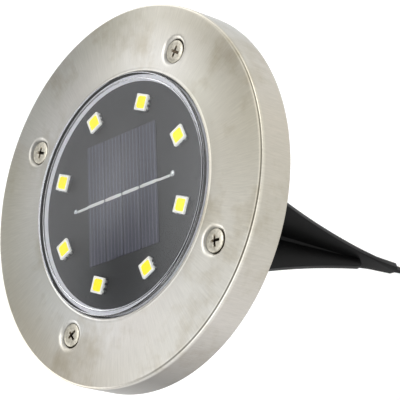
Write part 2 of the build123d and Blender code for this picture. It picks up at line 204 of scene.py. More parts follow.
@dataclass(frozen=True)
class Finish:
    """A surface finish: its name and the settings of its shader."""

    name: str
    hex_code: str
    roughness: float = 0.5
    metallic: float = 0.0
    shader: dict = field(default_factory=dict)

    def material(self) -> bpy.types.Material:
        """The finish's one material, made when it is first asked for."""
        return bpy.data.materials.get(self.name) or self.build()

    def build(self) -> bpy.types.Material:
        """Make the material with its one shader and its pattern.

        Returns:
            The finished material.
        """
        material = bpy.data.materials.new(self.name)
        material.use_nodes = True
        tree = material.node_tree
        tree.nodes.clear()
        inputs = {"Base Color": linear(self.hex_code), "Roughness": self.roughness, "Metallic": self.metallic}
        shader = add_node(tree, "BsdfPrincipled", inputs={**inputs, **self.shader})
        add_node(tree, "OutputMaterial", inputs={"Surface": (shader, "BSDF")})
        self.detail(Graph(tree, shader))
        return material

    def detail(self, graph: Graph) -> None:
        """Add slight colour and gloss changes, as any plain surface has.

        Args:
            graph: the material's nodes.
        """
        cloud = graph.noise(graph.place, CLOUD_SCALE, 4.0, 0.6)
        dull, shiny = self.roughness * 0.8, min(1.0, self.roughness * 1.2)
        graph.feed("Base Color", graph.mix(0.22, linear(self.hex_code), (cloud, "Color"), "MULTIPLY"))
        graph.feed("Roughness", graph.span((cloud, "Fac"), 0.0, 1.0, dull, shiny))
        graph.bump((cloud, "Fac"), 0.12, 0.05)


@dataclass(frozen=True)
class BrushedSheet(Finish):
    """Stainless sheet, brushed outwards from the middle, so bright fans turn with the light."""

    streak_length_mm: float = 7.0
    streak_mm: float = 0.4       # spacing of the brush marks where they can still show
    smudge_mm: float = 16.0      # size of handling marks and tarnish
    middle_mm: float = 47.0      # radius at which the brush marks have that spacing
    warm_hex: str = "#c4b89c"
    # Painted light and shade: brightness of the inner and outer face by sector around the axis.
    inner_sector_light: Stops = (
        (0.0, "#c8cbd2"), (0.028, "#cbcdd1"), (0.111, "#dee1e4"), (0.194, "#e2e6eb"), (0.278, "#e5e8f0"),
        (0.361, "#dbdbe0"), (0.444, "#e7e9ed"), (0.528, "#e5e5e4"), (0.611, "#e4e3df"), (0.681, "#e3e4e2"),
        (0.736, "#eaebef"), (0.792, "#e9ebf1"), (0.847, "#d6d7d9"), (0.917, "#c9cace"), (0.972, "#c9cbd1"),
    )
    outer_sector_light: Stops = (
        (0.0, "#b1b1b1"), (0.028, "#b4b4af"), (0.111, "#d1d2ce"), (0.194, "#d3d1cb"), (0.278, "#d4d2d0"),
        (0.361, "#dcdde0"), (0.444, "#e5e7eb"), (0.528, "#e2e2e1"), (0.611, "#d4d2ca"), (0.681, "#b7b5b0"),
        (0.736, "#c9c8c4"), (0.792, "#d6d6d5"), (0.847, "#b7b7b3"), (0.917, "#afb1b3"), (0.972, "#b4b6b8"),
    )
    screw_circle: float = 44.4
    dimple: float = 3.95
    lip: float = 38.1
    lip_share: float = 0.25
    # The first is a painted shade that darkens the dimples and the lip; the second dulls their gloss.
    painted_shade_tone: float = 0.55
    pressed_dull: float = 0.3
    # Painted shade: a dark line along the rim's crease, strongest in one sector.
    crease_radius: float = 57.0
    crease_width: float = 0.32
    crease_shade_hex: str = "#5c574c"
    crease_shade_sector: Stops = (
        (0.0, "#000000"), (0.3, "#000000"), (0.4, "#bcbcbc"), (0.5, "#f0f0f0"), (0.58, "#dcdcdc"),
        (0.66, "#808080"), (0.74, "#000000"), (1.0, "#000000"),
    )
    # Painted light and shade on the rim, by sector around the axis.
    rim_sector_light: Stops = (
        (0.0, "#c0c0c0"), (0.25, "#909090"), (0.361, "#7d7c7d"), (0.444, "#c8c7ca"), (0.528, "#bdbcb9"),
        (0.611, "#c3c0bc"), (0.681, "#c4c4c4"), (0.736, "#b1b5b9"), (0.85, "#c4c4c4"), (1.0, "#c0c0c0"),
    )

    def detail(self, graph: Graph) -> None:
        """Brush marks run along the radius and stop short; soft warm smudges lie between them, under painted
        light and shade by sector.

        Args:
            graph: the material's nodes.
        """
        x, y, z = graph.axes(graph.place)
        turn = graph.math("ARCTAN2", y, x)
        reach = (graph.vector("LENGTH", {0: graph.flat(x, y)}), "Value")
        spun = graph.math("MULTIPLY", turn, self.middle_mm / self.streak_mm / 10)
        along = graph.math("MULTIPLY", graph.math("SUBTRACT", reach, z), 100 / self.streak_length_mm)
        marks = (graph.noise(graph.flat(spun, along), 10.0, 5.0, 0.7), "Fac")
        smudge = (graph.noise(graph.place, 1 / (self.smudge_mm * MM), 6.0, 0.62), "Fac")
        stain = graph.span(smudge, 0.52, 0.8, 0.0, 0.8)
        base = graph.mix(stain, linear(self.hex_code), linear(self.warm_hex))
        # Painted light and shade by sector multiplies the sheet's colour.
        lit_base = (graph.vector("MULTIPLY", {0: base, 1: self.painted_sector_light(graph, turn, reach, z)}), "Vector")
        pressed = self.pressed(graph, x, y, reach)
        # Painted shade: the dimples and the lip are darkened.
        shade = graph.span(pressed, 0.0, 1.0, 1.0, self.painted_shade_tone)
        tone = graph.math("MULTIPLY", graph.span(marks, 0.3, 0.7, 0.9, 1.06), shade)
        brushed = graph.span(marks, 0.0, 1.0, self.roughness * 0.8, self.roughness * 1.25)
        tangent = add_node(graph.tree, "Tangent", {"direction_type": "RADIAL", "axis": "Z"})
        graph.feed("Base Color", (graph.vector("SCALE", {0: lit_base, "Scale": tone}), "Vector"))
        graph.feed("Roughness", graph.math("MULTIPLY_ADD", pressed, self.pressed_dull, brushed))
        graph.feed("Tangent", (tangent, "Tangent"))
        graph.bump(marks, 0.16, 0.02)

    def pressed(self, graph: Graph, x: Socket, y: Socket, reach: Socket) -> Socket:
        """Mask of the dimples and the lip, which the press dulled; the same mask carries their painted shade.

        Args:
            graph: the material's nodes.
            x: place along X.
            y: place along Y.
            reach: distance from the lamp's axis.

        Returns:
            One in a pressed place and zero beside it.
        """
        wide, deep = graph.math("ABSOLUTE", x), graph.math("ABSOLUTE", y)
        far = graph.math("SUBTRACT", graph.math("MAXIMUM", wide, deep), self.screw_circle * MM)
        off = graph.flat(far, graph.math("MINIMUM", wide, deep))
        away = (graph.vector("LENGTH", {0: off}), "Value")
        dimple = graph.span(away, (self.dimple + 0.5) * MM, (self.dimple - 0.4) * MM)
        lip = graph.span(reach, (self.lip + 0.3) * MM, self.lip * MM, 0.0, self.lip_share)
        return graph.math("MAXIMUM", dimple, lip)

    def painted_sector_light(self, graph: Graph, turn: Socket, reach: Socket, height: Socket) -> Socket:
        """Painted light and shade: the sheet is painted brighter or darker by sector, on the face and on the
        rim, with a painted dark shade line along the rim's crease.

        Args:
            graph: the material's nodes.
            turn: angle around the lamp's axis.
            reach: distance from the axis.
            height: height over the rim's lower edge.

        Returns:
            The sheet's tint, with its painted light and shade.
        """
        share = graph.span(turn, -math.pi, math.pi)
        inner, outer, rim, sector = [
            graph.ramp(share, stops)
            for stops in (self.inner_sector_light, self.outer_sector_light, self.rim_sector_light, self.crease_shade_sector)
        ]
        face = graph.mix(graph.span(reach, 41.5 * MM, 53.5 * MM), inner, outer)
        whole = graph.mix(graph.span(height, 10.9 * MM, 9.6 * MM), face, rim)
        off = graph.math("SUBTRACT", reach, self.crease_radius * MM)
        line = graph.span(graph.math("ABSOLUTE", off), self.crease_width * MM, self.crease_width * 0.4 * MM)
        on_top = graph.span(height, 10.5 * MM, 10.8 * MM)
        # Painted shade line along the crease, only in its sector and on the top.
        painted_crease_line = graph.math("MULTIPLY", graph.math("MULTIPLY", line, sector), on_top)
        return graph.mix(painted_crease_line, whole, linear(self.crease_shade_hex))


@dataclass(frozen=True)
class ScrewSteel(Finish):
    """Tumbled screw steel, bright on the head, with painted shade that darkens it below the head's top: in
    the recess and on the head's side.
    """

    head_top_mm: float = 11.03
    scuff_scale: float = 1500.0
    scuff_hex: str = "#b3aea0"
    # Colour of the painted shade in the recess and on the head's side.
    recess_shade_hex: str = "#7c7060"

    def detail(self, graph: Graph) -> None:
        """Colour and gloss change with depth below the head's top; the colour change is painted shade in the
        recess and on the head's side.

        Args:
            graph: the material's nodes.
        """
        height = graph.axes(graph.place)[2]
        # Painted shade: darker deeper below the head's top.
        lit_head = graph.span(height, (self.head_top_mm - 0.55) * MM, (self.head_top_mm - 0.16) * MM)
        scuffs = (graph.noise(graph.place, self.scuff_scale, 4.0, 0.65), "Fac")
        steel = graph.ramp(scuffs, ((0.35, self.scuff_hex), (0.62, self.hex_code)))
        graph.feed("Base Color", graph.mix(lit_head, linear(self.recess_shade_hex), steel))
        graph.feed("Roughness", graph.span(lit_head, 0.0, 1.0, 0.65, self.roughness))
        graph.bump(scuffs, 0.15, 0.02)


@dataclass(frozen=True)
class ClearMoulding(Finish):
    """Clear polycarbonate from a polished mould: sharp reflections and hardly any tint."""

    wave_scale: float = 70.0

    def detail(self, graph: Graph) -> None:
        """A faint long wave bends the reflections, as on any moulded cap."""
        graph.bump((graph.noise(graph.place, self.wave_scale, 1.0, 0.4), "Fac"), 0.1, 0.15)


@dataclass(frozen=True)
class SolderMask(Finish):
    """Black solder mask on glass fibre board: smooth, with faint raised copper tracks."""

    track_mm: float = 3.2
    dust_scale: float = 900.0
    track_hex: str = "#121214"

    def detail(self, graph: Graph) -> None:
        """Tracks run around between the lights, under the mask.

        Args:
            graph: the material's nodes.
        """
        rings = add_node(
            graph.tree, "TexWave", {"wave_type": "RINGS", "rings_direction": "Z"},
            {"Vector": graph.place, "Scale": 0.314 / (self.track_mm * MM), "Distortion": 0.6, "Detail": 1.0},
        )
        tracks = graph.span((rings, "Fac"), 0.72, 0.8)
        dust = (graph.noise(graph.place, self.dust_scale, 3.0, 0.6), "Fac")
        graph.feed("Base Color", graph.mix(tracks, linear(self.hex_code), linear(self.track_hex)))
        graph.feed("Roughness", graph.span(dust, 0.0, 1.0, self.roughness * 0.75, self.roughness * 1.25))
        graph.bump(tracks, 0.25, 0.03)


@dataclass(frozen=True)
class PrintedCell(Finish):
    """Silicon cell strip: blue grey crystal with fine silver fingers printed along it."""

    turn_deg: float = 0.0
    finger_mm: float = 1.5       # spacing of the printed fingers
    finger_width: float = 0.12   # share of the spacing, drawn a little wide so that it shows
    finger_hex: str = "#54566e"
    drift_scale: float = 55.0
    violet_hex: str = "#28253a"

    def detail(self, graph: Graph) -> None:
        """Fingers run along the strip, and the crystal's tint drifts from blue to violet.

        Args:
            graph: the material's nodes.
        """
        back = (0, 0, -math.radians(self.turn_deg))
        level = add_node(graph.tree, "Mapping", inputs={"Vector": graph.place, "Rotation": back})
        across = graph.math("MULTIPLY", graph.axes((level, "Vector"))[0], 1 / (self.finger_mm * MM))
        centre = graph.math("SUBTRACT", graph.math("FRACT", across), 0.5)
        finger = graph.span(graph.math("ABSOLUTE", centre), self.finger_width, self.finger_width * 0.4)
        drift = (graph.noise((level, "Vector"), self.drift_scale, 3.0, 0.6), "Fac")
        crystal = graph.ramp(drift, ((0.3, self.hex_code), (0.7, self.violet_hex)))
        graph.feed("Base Color", graph.mix(finger, crystal, linear(self.finger_hex)))
        graph.bump(finger, 0.2, 0.02)


@dataclass(frozen=True)
class MouldedPlastic(Finish):
    """Injection moulded ABS with a fine spark-eroded texture and faint flow marks."""

    grain_mm: float = 0.5        # texture grain, drawn as coarse as it needs to show
    grain_depth_mm: float = 0.02
    flow_scale: float = 60.0

    def detail(self, graph: Graph) -> None:
        """Fine even grain, with duller and shinier patches where the melt flowed.

        Args:
            graph: the material's nodes.
        """
        grain = (graph.noise(graph.place, 1 / (self.grain_mm * MM), 3.0, 0.7), "Fac")
        flow = (graph.noise(graph.place, self.flow_scale, 2.0, 0.5), "Fac")
        tint = graph.span(flow, 0.0, 1.0, 0.8, 1.25)
        colour = graph.vector("SCALE", {0: linear(self.hex_code)[:3], "Scale": tint})
        graph.feed("Base Color", (colour, "Vector"))
        graph.feed("Roughness", graph.span(flow, 0.0, 1.0, self.roughness * 0.8, self.roughness * 1.2))
        graph.bump(grain, 0.3, self.grain_depth_mm)


@dataclass(frozen=True)
class LightPackage(Finish):
    """Light package: white frame on top, with painted shade on the walls below it."""

    # Painted shade on the frame's walls below this height, and a painted glow on its white top.
    painted_wall_shade_hex: str = "#34343f"
    wall_shade_top_mm: float = 11.1
    glow: float = 0.3

    def detail(self, graph: Graph) -> None:
        """The colour changes at the seam to a painted shade on the walls below; only the white top gets a
        painted glow.

        Args:
            graph: the material's nodes.
        """
        height = graph.axes(graph.place)[2]
        white = graph.span(height, (self.wall_shade_top_mm - 0.05) * MM, (self.wall_shade_top_mm + 0.05) * MM)
        graph.feed("Base Color", graph.mix(white, linear(self.painted_wall_shade_hex), linear(self.hex_code)))
        graph.feed("Emission Strength", graph.math("MULTIPLY", white, self.glow))


# ---------------------------------------------------------------- modelling tools


def deselect_all() -> None:
    """Leave object mode with nothing selected."""
    if bpy.context.object and bpy.context.object.mode != "OBJECT":
        bpy.ops.object.mode_set(mode="OBJECT")
    bpy.ops.object.select_all(action="DESELECT")


def select_only(*pieces: Piece) -> None:
    """Select these pieces and make the first one active."""
    deselect_all()
    for piece in pieces:
        piece.select_set(True)
    bpy.context.view_layer.objects.active = pieces[0]


@contextmanager
def editing(piece: Piece) -> Iterator[Piece]:
    """Edit a piece's mesh, starting with nothing selected.

    Args:
        piece: the piece to edit.

    Yields:
        The same piece, in edit mode.
    """
    select_only(piece)
    bpy.ops.object.mode_set(mode="EDIT")
    bpy.ops.mesh.select_mode(type="VERT")
    bpy.ops.mesh.select_all(action="DESELECT")
    yield piece
    bpy.ops.object.mode_set(mode="OBJECT")


def take_all() -> None:
    """Select everything in the mesh being edited."""
    bpy.ops.mesh.select_all(action="SELECT")


def pick(piece: Piece, part: Part, test: Callable[[Vector, Vector], bool]) -> None:
    """Select the elements whose middle and normal pass a test, and nothing else.

    Args:
        piece: a piece in edit mode.
        part: which elements to test.
        test: takes the middle and the normal; an edge's normal is the sum of its faces' normals.
    """
    bpy.ops.mesh.select_mode(type=part.value)
    bpy.ops.mesh.select_all(action="DESELECT")
    mesh = bmesh.from_edit_mesh(piece.data)
    chosen = []
    if part is Part.VERTS:
        chosen = [v for v in mesh.verts if test(v.co, v.normal)]
    elif part is Part.EDGES:
        for edge in mesh.edges:
            middle = (edge.verts[0].co + edge.verts[1].co) / 2
            normal = sum((f.normal for f in edge.link_faces), Vector())
            if test(middle, normal):
                chosen.append(edge)
    else:
        chosen = [f for f in mesh.faces if test(f.calc_center_median(), f.normal)]
    for element in chosen:
        element.select_set(True)
    mesh.select_flush_mode()
    bmesh.update_edit_mesh(piece.data)


def merge_and_face_out() -> None:
    """Join doubled points of the mesh being edited and point its faces outwards."""
    take_all()
    bpy.ops.mesh.remove_doubles(threshold=0.002 * MM)
    bpy.ops.mesh.normals_make_consistent(inside=False)
    bpy.ops.mesh.select_all(action="DESELECT")


def settle(piece: Piece, angle_deg: float = 35.0) -> Piece:
    """Apply a piece's modifiers and place, and smooth it up to an angle.

    Args:
        piece: the piece to finish.
        angle_deg: edges sharper than this stay crisp.

    Returns:
        The same piece.
    """
    select_only(piece)
    for modifier in list(piece.modifiers):
        bpy.ops.object.modifier_apply(modifier=modifier.name)
    bpy.ops.object.transform_apply(location=True, rotation=True, scale=True)
    bpy.ops.object.shade_smooth_by_angle(angle=math.radians(angle_deg))
    return piece


def named(piece: Piece, name: str) -> Piece:
    """Give a piece and its mesh a name.

    Args:
        piece: the piece to name.
        name: its new name.

    Returns:
        The same piece.
    """
    piece.name = name
    piece.data.name = name
    return piece


def arc(centre: Point, radius: float, start_deg: float, end_deg: float, steps: int = 6) -> list[Point]:
    """Points along a round stretch of a section.

    Args:
        centre: middle of the arc, as radius and height.
        radius: the arc's radius.
        start_deg: first angle, counted from the outward direction.
        end_deg: last angle.
        steps: how many stretches the arc is cut into.

    Returns:
        The points, both ends included.
    """
    turns = [math.radians(start_deg + (end_deg - start_deg) * i / steps) for i in range(steps + 1)]
    return [(centre[0] + radius * math.cos(t), centre[1] + radius * math.sin(t)) for t in turns]


def drawn(name: str, points: Sequence[Vector], closed: bool = True) -> Piece:
    """Draw a line of points by extruding one after another.

    Args:
        name: name of the new piece.
        points: the corners, in millimetres.
        closed: whether the last point joins the first.

    Returns:
        A piece that holds only that line.
    """
    deselect_all()
    bpy.ops.mesh.primitive_plane_add(size=1 * MM, location=(0, 0, 0))
    line = named(bpy.context.object, name)
    with editing(line):
        take_all()
        bpy.ops.mesh.merge(type="CENTER")
        take_all()
        bpy.ops.transform.translate(value=points[0] * MM)
        for here, there in zip(points, [*points[1:], points[0]] if closed else points[1:]):
            bpy.ops.mesh.extrude_region_move(TRANSFORM_OT_translate={"value": (there - here) * MM})
        take_all()
        bpy.ops.mesh.remove_doubles(threshold=0.001 * MM)
    return line


def lathe(name: str, section: Sequence[Point], steps: int = 128, closed: bool = True) -> Piece:
    """Turn a section about the lamp's axis.

    Args:
        name: name of the new piece.
        section: radius and height of each corner, in millimetres.
        steps: how many stretches go round.
        closed: whether the section is a closed outline.

    Returns:
        The turned piece.
    """
    piece = drawn(name, [Vector((r, 0, z)) for r, z in section], closed)
    with editing(piece):
        take_all()
        bpy.ops.mesh.spin(steps=steps, angle=math.tau, center=(0, 0, 0), axis=(0, 0, 1))
        merge_and_face_out()
    return piece


def slab(name: str, outline: Sequence[Vector], depth: Vector) -> Piece:
    """Fill a flat outline and extrude it.

    Args:
        name: name of the new piece.
        outline: corners in millimetres.
        depth: how far and which way the face is pulled, in millimetres.

    Returns:
        The closed slab.
    """
    piece = drawn(name, outline)
    with editing(piece):
        take_all()
        bpy.ops.mesh.edge_face_add()
        bpy.ops.mesh.extrude_region_move(TRANSFORM_OT_translate={"value": depth * MM})
        merge_and_face_out()
    return piece


def brick(name: str, low: Vector, high: Vector) -> Piece:
    """Add a block with its place in its mesh.

    Args:
        name: name of the new piece.
        low: its lowest corner, in millimetres.
        high: its highest corner.

    Returns:
        The block.
    """
    deselect_all()
    bpy.ops.mesh.primitive_cube_add(size=1, location=(low + high) / 2 * MM, scale=(high - low) * MM)
    piece = named(bpy.context.object, name)
    bpy.ops.object.transform_apply(location=True, rotation=True, scale=True)
    return piece


def turn_mesh(piece: Piece, turn_deg: float) -> None:
    """Turn a piece's whole mesh about the lamp's axis.

    Args:
        piece: the piece to turn.
        turn_deg: how far it is turned.
    """
    with editing(piece):
        take_all()
        bpy.ops.transform.rotate(value=-math.radians(turn_deg), orient_axis="Z", center_override=(0, 0, 0))


def rod(radius: float, depth: float, place: Vector, lying: bool = False) -> Piece:
    """Add a round cutter.

    Args:
        radius: its radius, in millimetres.
        depth: its length.
        place: its middle.
        lying: whether it lies along X instead of standing.

    Returns:
        The cutter.
    """
    deselect_all()
    rotation = (0, math.pi / 2, 0) if lying else (0, 0, 0)
    bpy.ops.mesh.primitive_cylinder_add(
        vertices=64, radius=radius * MM, depth=depth * MM, location=place * MM, rotation=rotation
    )
    return bpy.context.object


def turned_copy(piece: Piece, name: str, turn_deg: float) -> Piece:
    """Copy a piece with its own mesh, turned about the lamp's axis.

    Args:
        piece: the piece to copy.
        name: the copy's name.
        turn_deg: how far the copy is turned.

    Returns:
        The copy, with its turn in its mesh.
    """
    select_only(piece)
    bpy.ops.object.duplicate(linked=False)
    copy = named(bpy.context.object, name)
    turn_mesh(copy, turn_deg)
    return copy


def shift(piece: Piece, x: float, y: float) -> None:
    """Move a piece's whole mesh sideways.

    Args:
        piece: the piece to move.
        x: how far along X, in millimetres.
        y: how far along Y.
    """
    with editing(piece):
        take_all()
        bpy.ops.transform.translate(value=(x * MM, y * MM, 0))


def joined(pieces: Sequence[Piece], name: str) -> Piece:
    """Join pieces into one.

    Args:
        pieces: the pieces to join.
        name: name of the joined piece.

    Returns:
        The joined piece.
    """
    select_only(*pieces)
    bpy.ops.object.join()
    return named(bpy.context.object, name)


def bevel(piece: Piece, width_mm: float, segments: int = 3, angle_deg: float = 30.0) -> None:
    """Round a piece's sharp edges with a bevel.

    Args:
        piece: the piece to round.
        width_mm: width of the rounding.
        segments: how many stretches each rounding has.
        angle_deg: edges sharper than this are rounded.
    """
    modifier = piece.modifiers.new("Rounding", "BEVEL")
    modifier.width = width_mm * MM
    modifier.segments = segments
    modifier.limit_method = "ANGLE"
    modifier.angle_limit = math.radians(angle_deg)
    modifier.harden_normals = False
    select_only(piece)
    bpy.ops.object.modifier_apply(modifier=modifier.name)


def combine(piece: Piece, tool: Piece, how: Blend) -> None:
    """Cut a tool out of a piece, or unite them, and remove the tool.

    Args:
        piece: the piece that stays.
        tool: the piece that is used up.
        how: whether the tool is cut out or united.
    """
    modifier = piece.modifiers.new("Combine", "BOOLEAN")
    modifier.operation = how.value
    modifier.solver = "EXACT"
    modifier.object = tool
    select_only(piece)
    bpy.ops.object.modifier_apply(modifier=modifier.name)
    bpy.data.objects.remove(tool)


def hand_over(piece: Piece, finish: Finish, slot: str, body: Body, *nodes: str) -> None:
    """Dress a finished piece and place it on its body.

    Args:
        piece: the finished piece.
        finish: its surface finish.
        slot: name of a material slot; not used.
        body: the body it rides on.
        nodes: the CAD nodes that it stands for.
    """
    piece.data.materials.clear()
    piece.data.materials.append(finish.material())
    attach(piece, body.value)
    if nodes:
        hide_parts(*nodes)
    log.info("%s: %d faces", piece.name, len(piece.data.polygons))


def top_of(node: str) -> float:
    """Height of a CAD node's top, in millimetres."""
    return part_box(node)[1].z / MM


def bottom_of(node: str) -> float:
    """Height of a CAD node's bottom, in millimetres."""
    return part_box(node)[0].z / MM


def radius_of(node: str) -> float:
    """Outer radius of a round CAD node, in millimetres."""
    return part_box(node)[1].x / MM


# ---------------------------------------------------------------- finishes

STAINLESS = BrushedSheet(
    # Brushed 304 stainless: a warm pale grey that spreads each highlight into a soft fan.
    "brushed_stainless_sheet", "#f0ece1", roughness=0.3, metallic=1.0, shader={"Anisotropic": 0.85}
)
TURNED_STAINLESS = ScrewSteel(
    # Tumbled screw steel: brighter and smoother than the sheet, with painted shade darkening the recess.
    "tumbled_stainless_screw", "#d9d4c6", roughness=0.3, metallic=1.0
)
CLEAR_CAP = ClearMoulding(
    # Polished polycarbonate: clear, with an IOR a little above glass.
    "moulded_clear_polycarbonate", "#fafcff", roughness=0.02, shader={"IOR": 1.58, "Transmission Weight": 1.0}
)
BLACK_MASK = SolderMask(
    # Glossy black solder mask: nearly black, so it shows what it mirrors.
    "black_solder_mask", "#0b0b0c", roughness=0.45, shader={"IOR": 1.55, "Specular IOR Level": 0.3}
)
LIGHT_FRAME = LightPackage(
    # White filled nylon with painted shade on its lower walls and a painted glow: a bright matt frame that
    # seems to float.
    "moulded_white_nylon", "#fbfaf7", roughness=0.45,
    shader={"IOR": 1.5, "Emission Color": linear("#fffdf0")}
)
PHOSPHOR = Finish(
    # Phosphor in cast silicone: saturated yellow, soft gloss, and a painted glow.
    "cast_phosphor_silicone", "#ffee10", roughness=0.5,
    shader={
        "IOR": 1.43, "Specular IOR Level": 0.1, "Emission Color": linear("#ffea10"), "Emission Strength": 0.62
    }
)
TINNED = Finish(
    # Tinned copper leads: bright, a little uneven.
    "tinned_copper", "#c9c8c4", roughness=0.28, metallic=1.0
)
RIBBON_TIN = Finish(
    # Hot dipped ribbon: dull silver with soft highlights, brightened by a faint painted glow.
    "hot_dipped_ribbon", "#f4f2ec", roughness=0.5, metallic=0.1,
    shader={"Emission Color": linear("#f0efe8"), "Emission Strength": 0.12}
)
SOLDER_TIN = Finish(
    # Reflowed solder: bright rounded blob.
    "reflowed_solder", "#d8d8d6", roughness=0.2, metallic=1.0
)
SILICONE_BEAD = Finish(
    # Cured white silicone: soft, milky and slightly shiny, with a painted glow.
    "cured_white_silicone", "#e8e7e8", roughness=0.35,
    shader={"IOR": 1.41, "Emission Color": linear("#e6e5ea"), "Emission Strength": 0.35}
)
SEAL_RUBBER = Finish(
    # Moulded black rubber: dull, with a fine bloom.
    "moulded_black_rubber", "#1a1a1a", roughness=0.75, shader={"IOR": 1.52}
)
HOUSING_ABS = MouldedPlastic(
    # Spark-eroded black ABS: dull black with a fine even grain.
    "spark_textured_black_abs", "#101010", roughness=0.5, shader={"IOR": 1.54}
)
SPIKE_ABS = MouldedPlastic(
    # Smooth moulded black ABS: semi gloss, so its blade edges catch the light.
    "smooth_moulded_black_abs", "#020202", roughness=0.42, shader={"IOR": 1.54, "Specular IOR Level": 0.08},
    grain_depth_mm=0.006
)
BUTTON_RED = MouldedPlastic(
    # Red moulded push cap: plain, slightly glossy.
    "moulded_red_push_cap", "#9c1c14", roughness=0.4, shader={"IOR": 1.5}
)

INNER_FINISHES: dict[str, Finish] = {
    "lens_seal": SEAL_RUBBER,
    "battery_can": Finish("drawn_nickel_steel", "#b8b8b4", 0.3, 1.0),
    "battery_sleeve": Finish("shrunk_green_film", "#1f6b3a", 0.3),
    "battery_tabs": Finish("rolled_nickel", "#c4c0b6", 0.3, 1.0),
    "positive_wire": Finish("extruded_red_vinyl", "#b01818", 0.45),
    "negative_wire": Finish("extruded_black_vinyl", "#141414", 0.45),
    "driver_chip": Finish("moulded_black_epoxy", "#1a1a1a", 0.6),
    "driver_legs": TINNED,
    "inductor_drum": Finish("sintered_ferrite", "#3a3a3c", 0.7),
    "inductor_coil": Finish("enamelled_copper", "#a85a2c", 0.3, 1.0),
    "chip_capacitor": Finish("fired_tan_ceramic", "#b09468", 0.5),
    "switch_body": Finish("moulded_black_nylon", "#181818", 0.55),
    "switch_legs": TINNED,
    "switch_plunger": Finish("moulded_grey_acetal", "#3c3c3e", 0.4),
}


# ---------------------------------------------------------------- sub-assemblies


@dataclass
class CoverRing:
    """Pressed stainless cover: rim, flat face with a lip, and a dimple at each screw."""

    sheet: float = 0.5
    rim_round: float = 0.9
    face_edge: float = 11.3
    lip_width: float = 1.25
    lip_round: float = 0.35
    opening: float = 36.9
    lip_foot: float = 11.5
    screw_circle: float = 44.4
    dish_radius: float = 3.95
    dish_depth: float = 2.4
    dish_band: float = 0.7       # how far to each side of the dimple's edge the sheet is smoothed
    hole_radius: float = 1.7
    roll_steps: tuple[Point, ...] = ((0.14, 0.2), (0.28, 0.6))    # way out, and share of the lip's drop
    foot_reach: float = 0.45
    face_steps: int = 34
    skirt_steps: int = 8
    steps: int = 480
    smooth_deg: float = 60.0

    def section(self) -> list[Point]:
        """Outer line of the sheet, from the opening's edge to the rim's lower edge.

        Returns:
            Radius and height of each point.
        """
        outer, top = radius_of("steel_ring"), top_of("steel_ring")
        lip = arc((self.opening + self.lip_round, top - self.lip_round), self.lip_round, 180, 90)
        down = [(self.opening, top - 2.2 * self.lip_round)]
        crest = self.opening + self.lip_round
        drop = top - self.lip_foot
        roll = [(crest + out, top - share * drop) for out, share in self.roll_steps]
        foot = [
            (crest + self.foot_reach, self.lip_foot + 0.08 * drop),
            (self.opening + self.lip_width, self.lip_foot),
        ]
        start, end = foot[-1][0], outer - self.rim_round
        count, fall = self.face_steps, self.face_edge - self.lip_foot
        flat = [
            (start + (end - start) * i / count, self.lip_foot + fall * i / count) for i in range(1, count)
        ]
        corner = arc((end, self.face_edge - self.rim_round), self.rim_round, 90, 0, 10)
        height, count = self.face_edge - self.rim_round, self.skirt_steps
        skirt = [(outer, height * i / count) for i in range(count - 1, -1, -1)]
        return [*down, *lip, *roll, *foot, *flat, *corner, *skirt]

    def build(self) -> None:
        """Turn the sheet, press the dimples, pierce the holes and give it thickness."""
        ring = lathe("cover_ring", self.section(), self.steps, closed=False)
        with editing(ring):
            for i in range(4):
                turn = math.radians(90 * i)
                place = Vector((math.cos(turn), math.sin(turn), 0)) * self.screw_circle * MM
                self.press(ring, place)
        with editing(ring):
            take_all()
            bpy.ops.mesh.normals_make_consistent(inside=False)
        thick = ring.modifiers.new("Sheet", "SOLIDIFY")
        thick.thickness = self.sheet * MM
        thick.offset = -1.0
        thick.use_even_offset = True
        settle(ring, self.smooth_deg)
        hand_over(ring, STAINLESS, "ring_steel", Body.HEAD, "steel_ring")

    def press(self, ring: Piece, place: Vector) -> None:
        """Press one round dimple and pierce its hole.

        Args:
            ring: the ring in edit mode.
            place: the screw's place, at height zero.
        """

        def away(middle: Vector) -> float:
            """Distance from the screw's axis."""
            return (Vector((middle.x, middle.y, 0)) - place).length

        bpy.ops.mesh.select_mode(type="VERT")
        bpy.ops.mesh.select_all(action="DESELECT")
        mesh = bmesh.from_edit_mesh(ring.data)
        foot = place + Vector((0, 0, self.lip_foot * MM))
        nearest = min(mesh.verts, key=lambda v: (v.co - foot).length)
        nearest.select_set(True)
        bmesh.update_edit_mesh(ring.data)
        bpy.ops.transform.translate(
            value=(0, 0, -self.dish_depth * MM), use_proportional_edit=True,
            proportional_edit_falloff="SPHERE", proportional_size=self.dish_radius * MM,
            use_proportional_connected=False, use_proportional_projected=False,
        )
        pick(ring, Part.FACES, lambda middle, _: away(middle) < self.hole_radius * MM)
        bpy.ops.mesh.delete(type="FACE")
        edge, band = self.dish_radius * MM, self.dish_band * MM
        pick(ring, Part.VERTS, lambda middle, _: abs(away(middle) - edge) < band)
        bpy.ops.mesh.vertices_smooth(factor=0.5, repeat=3)


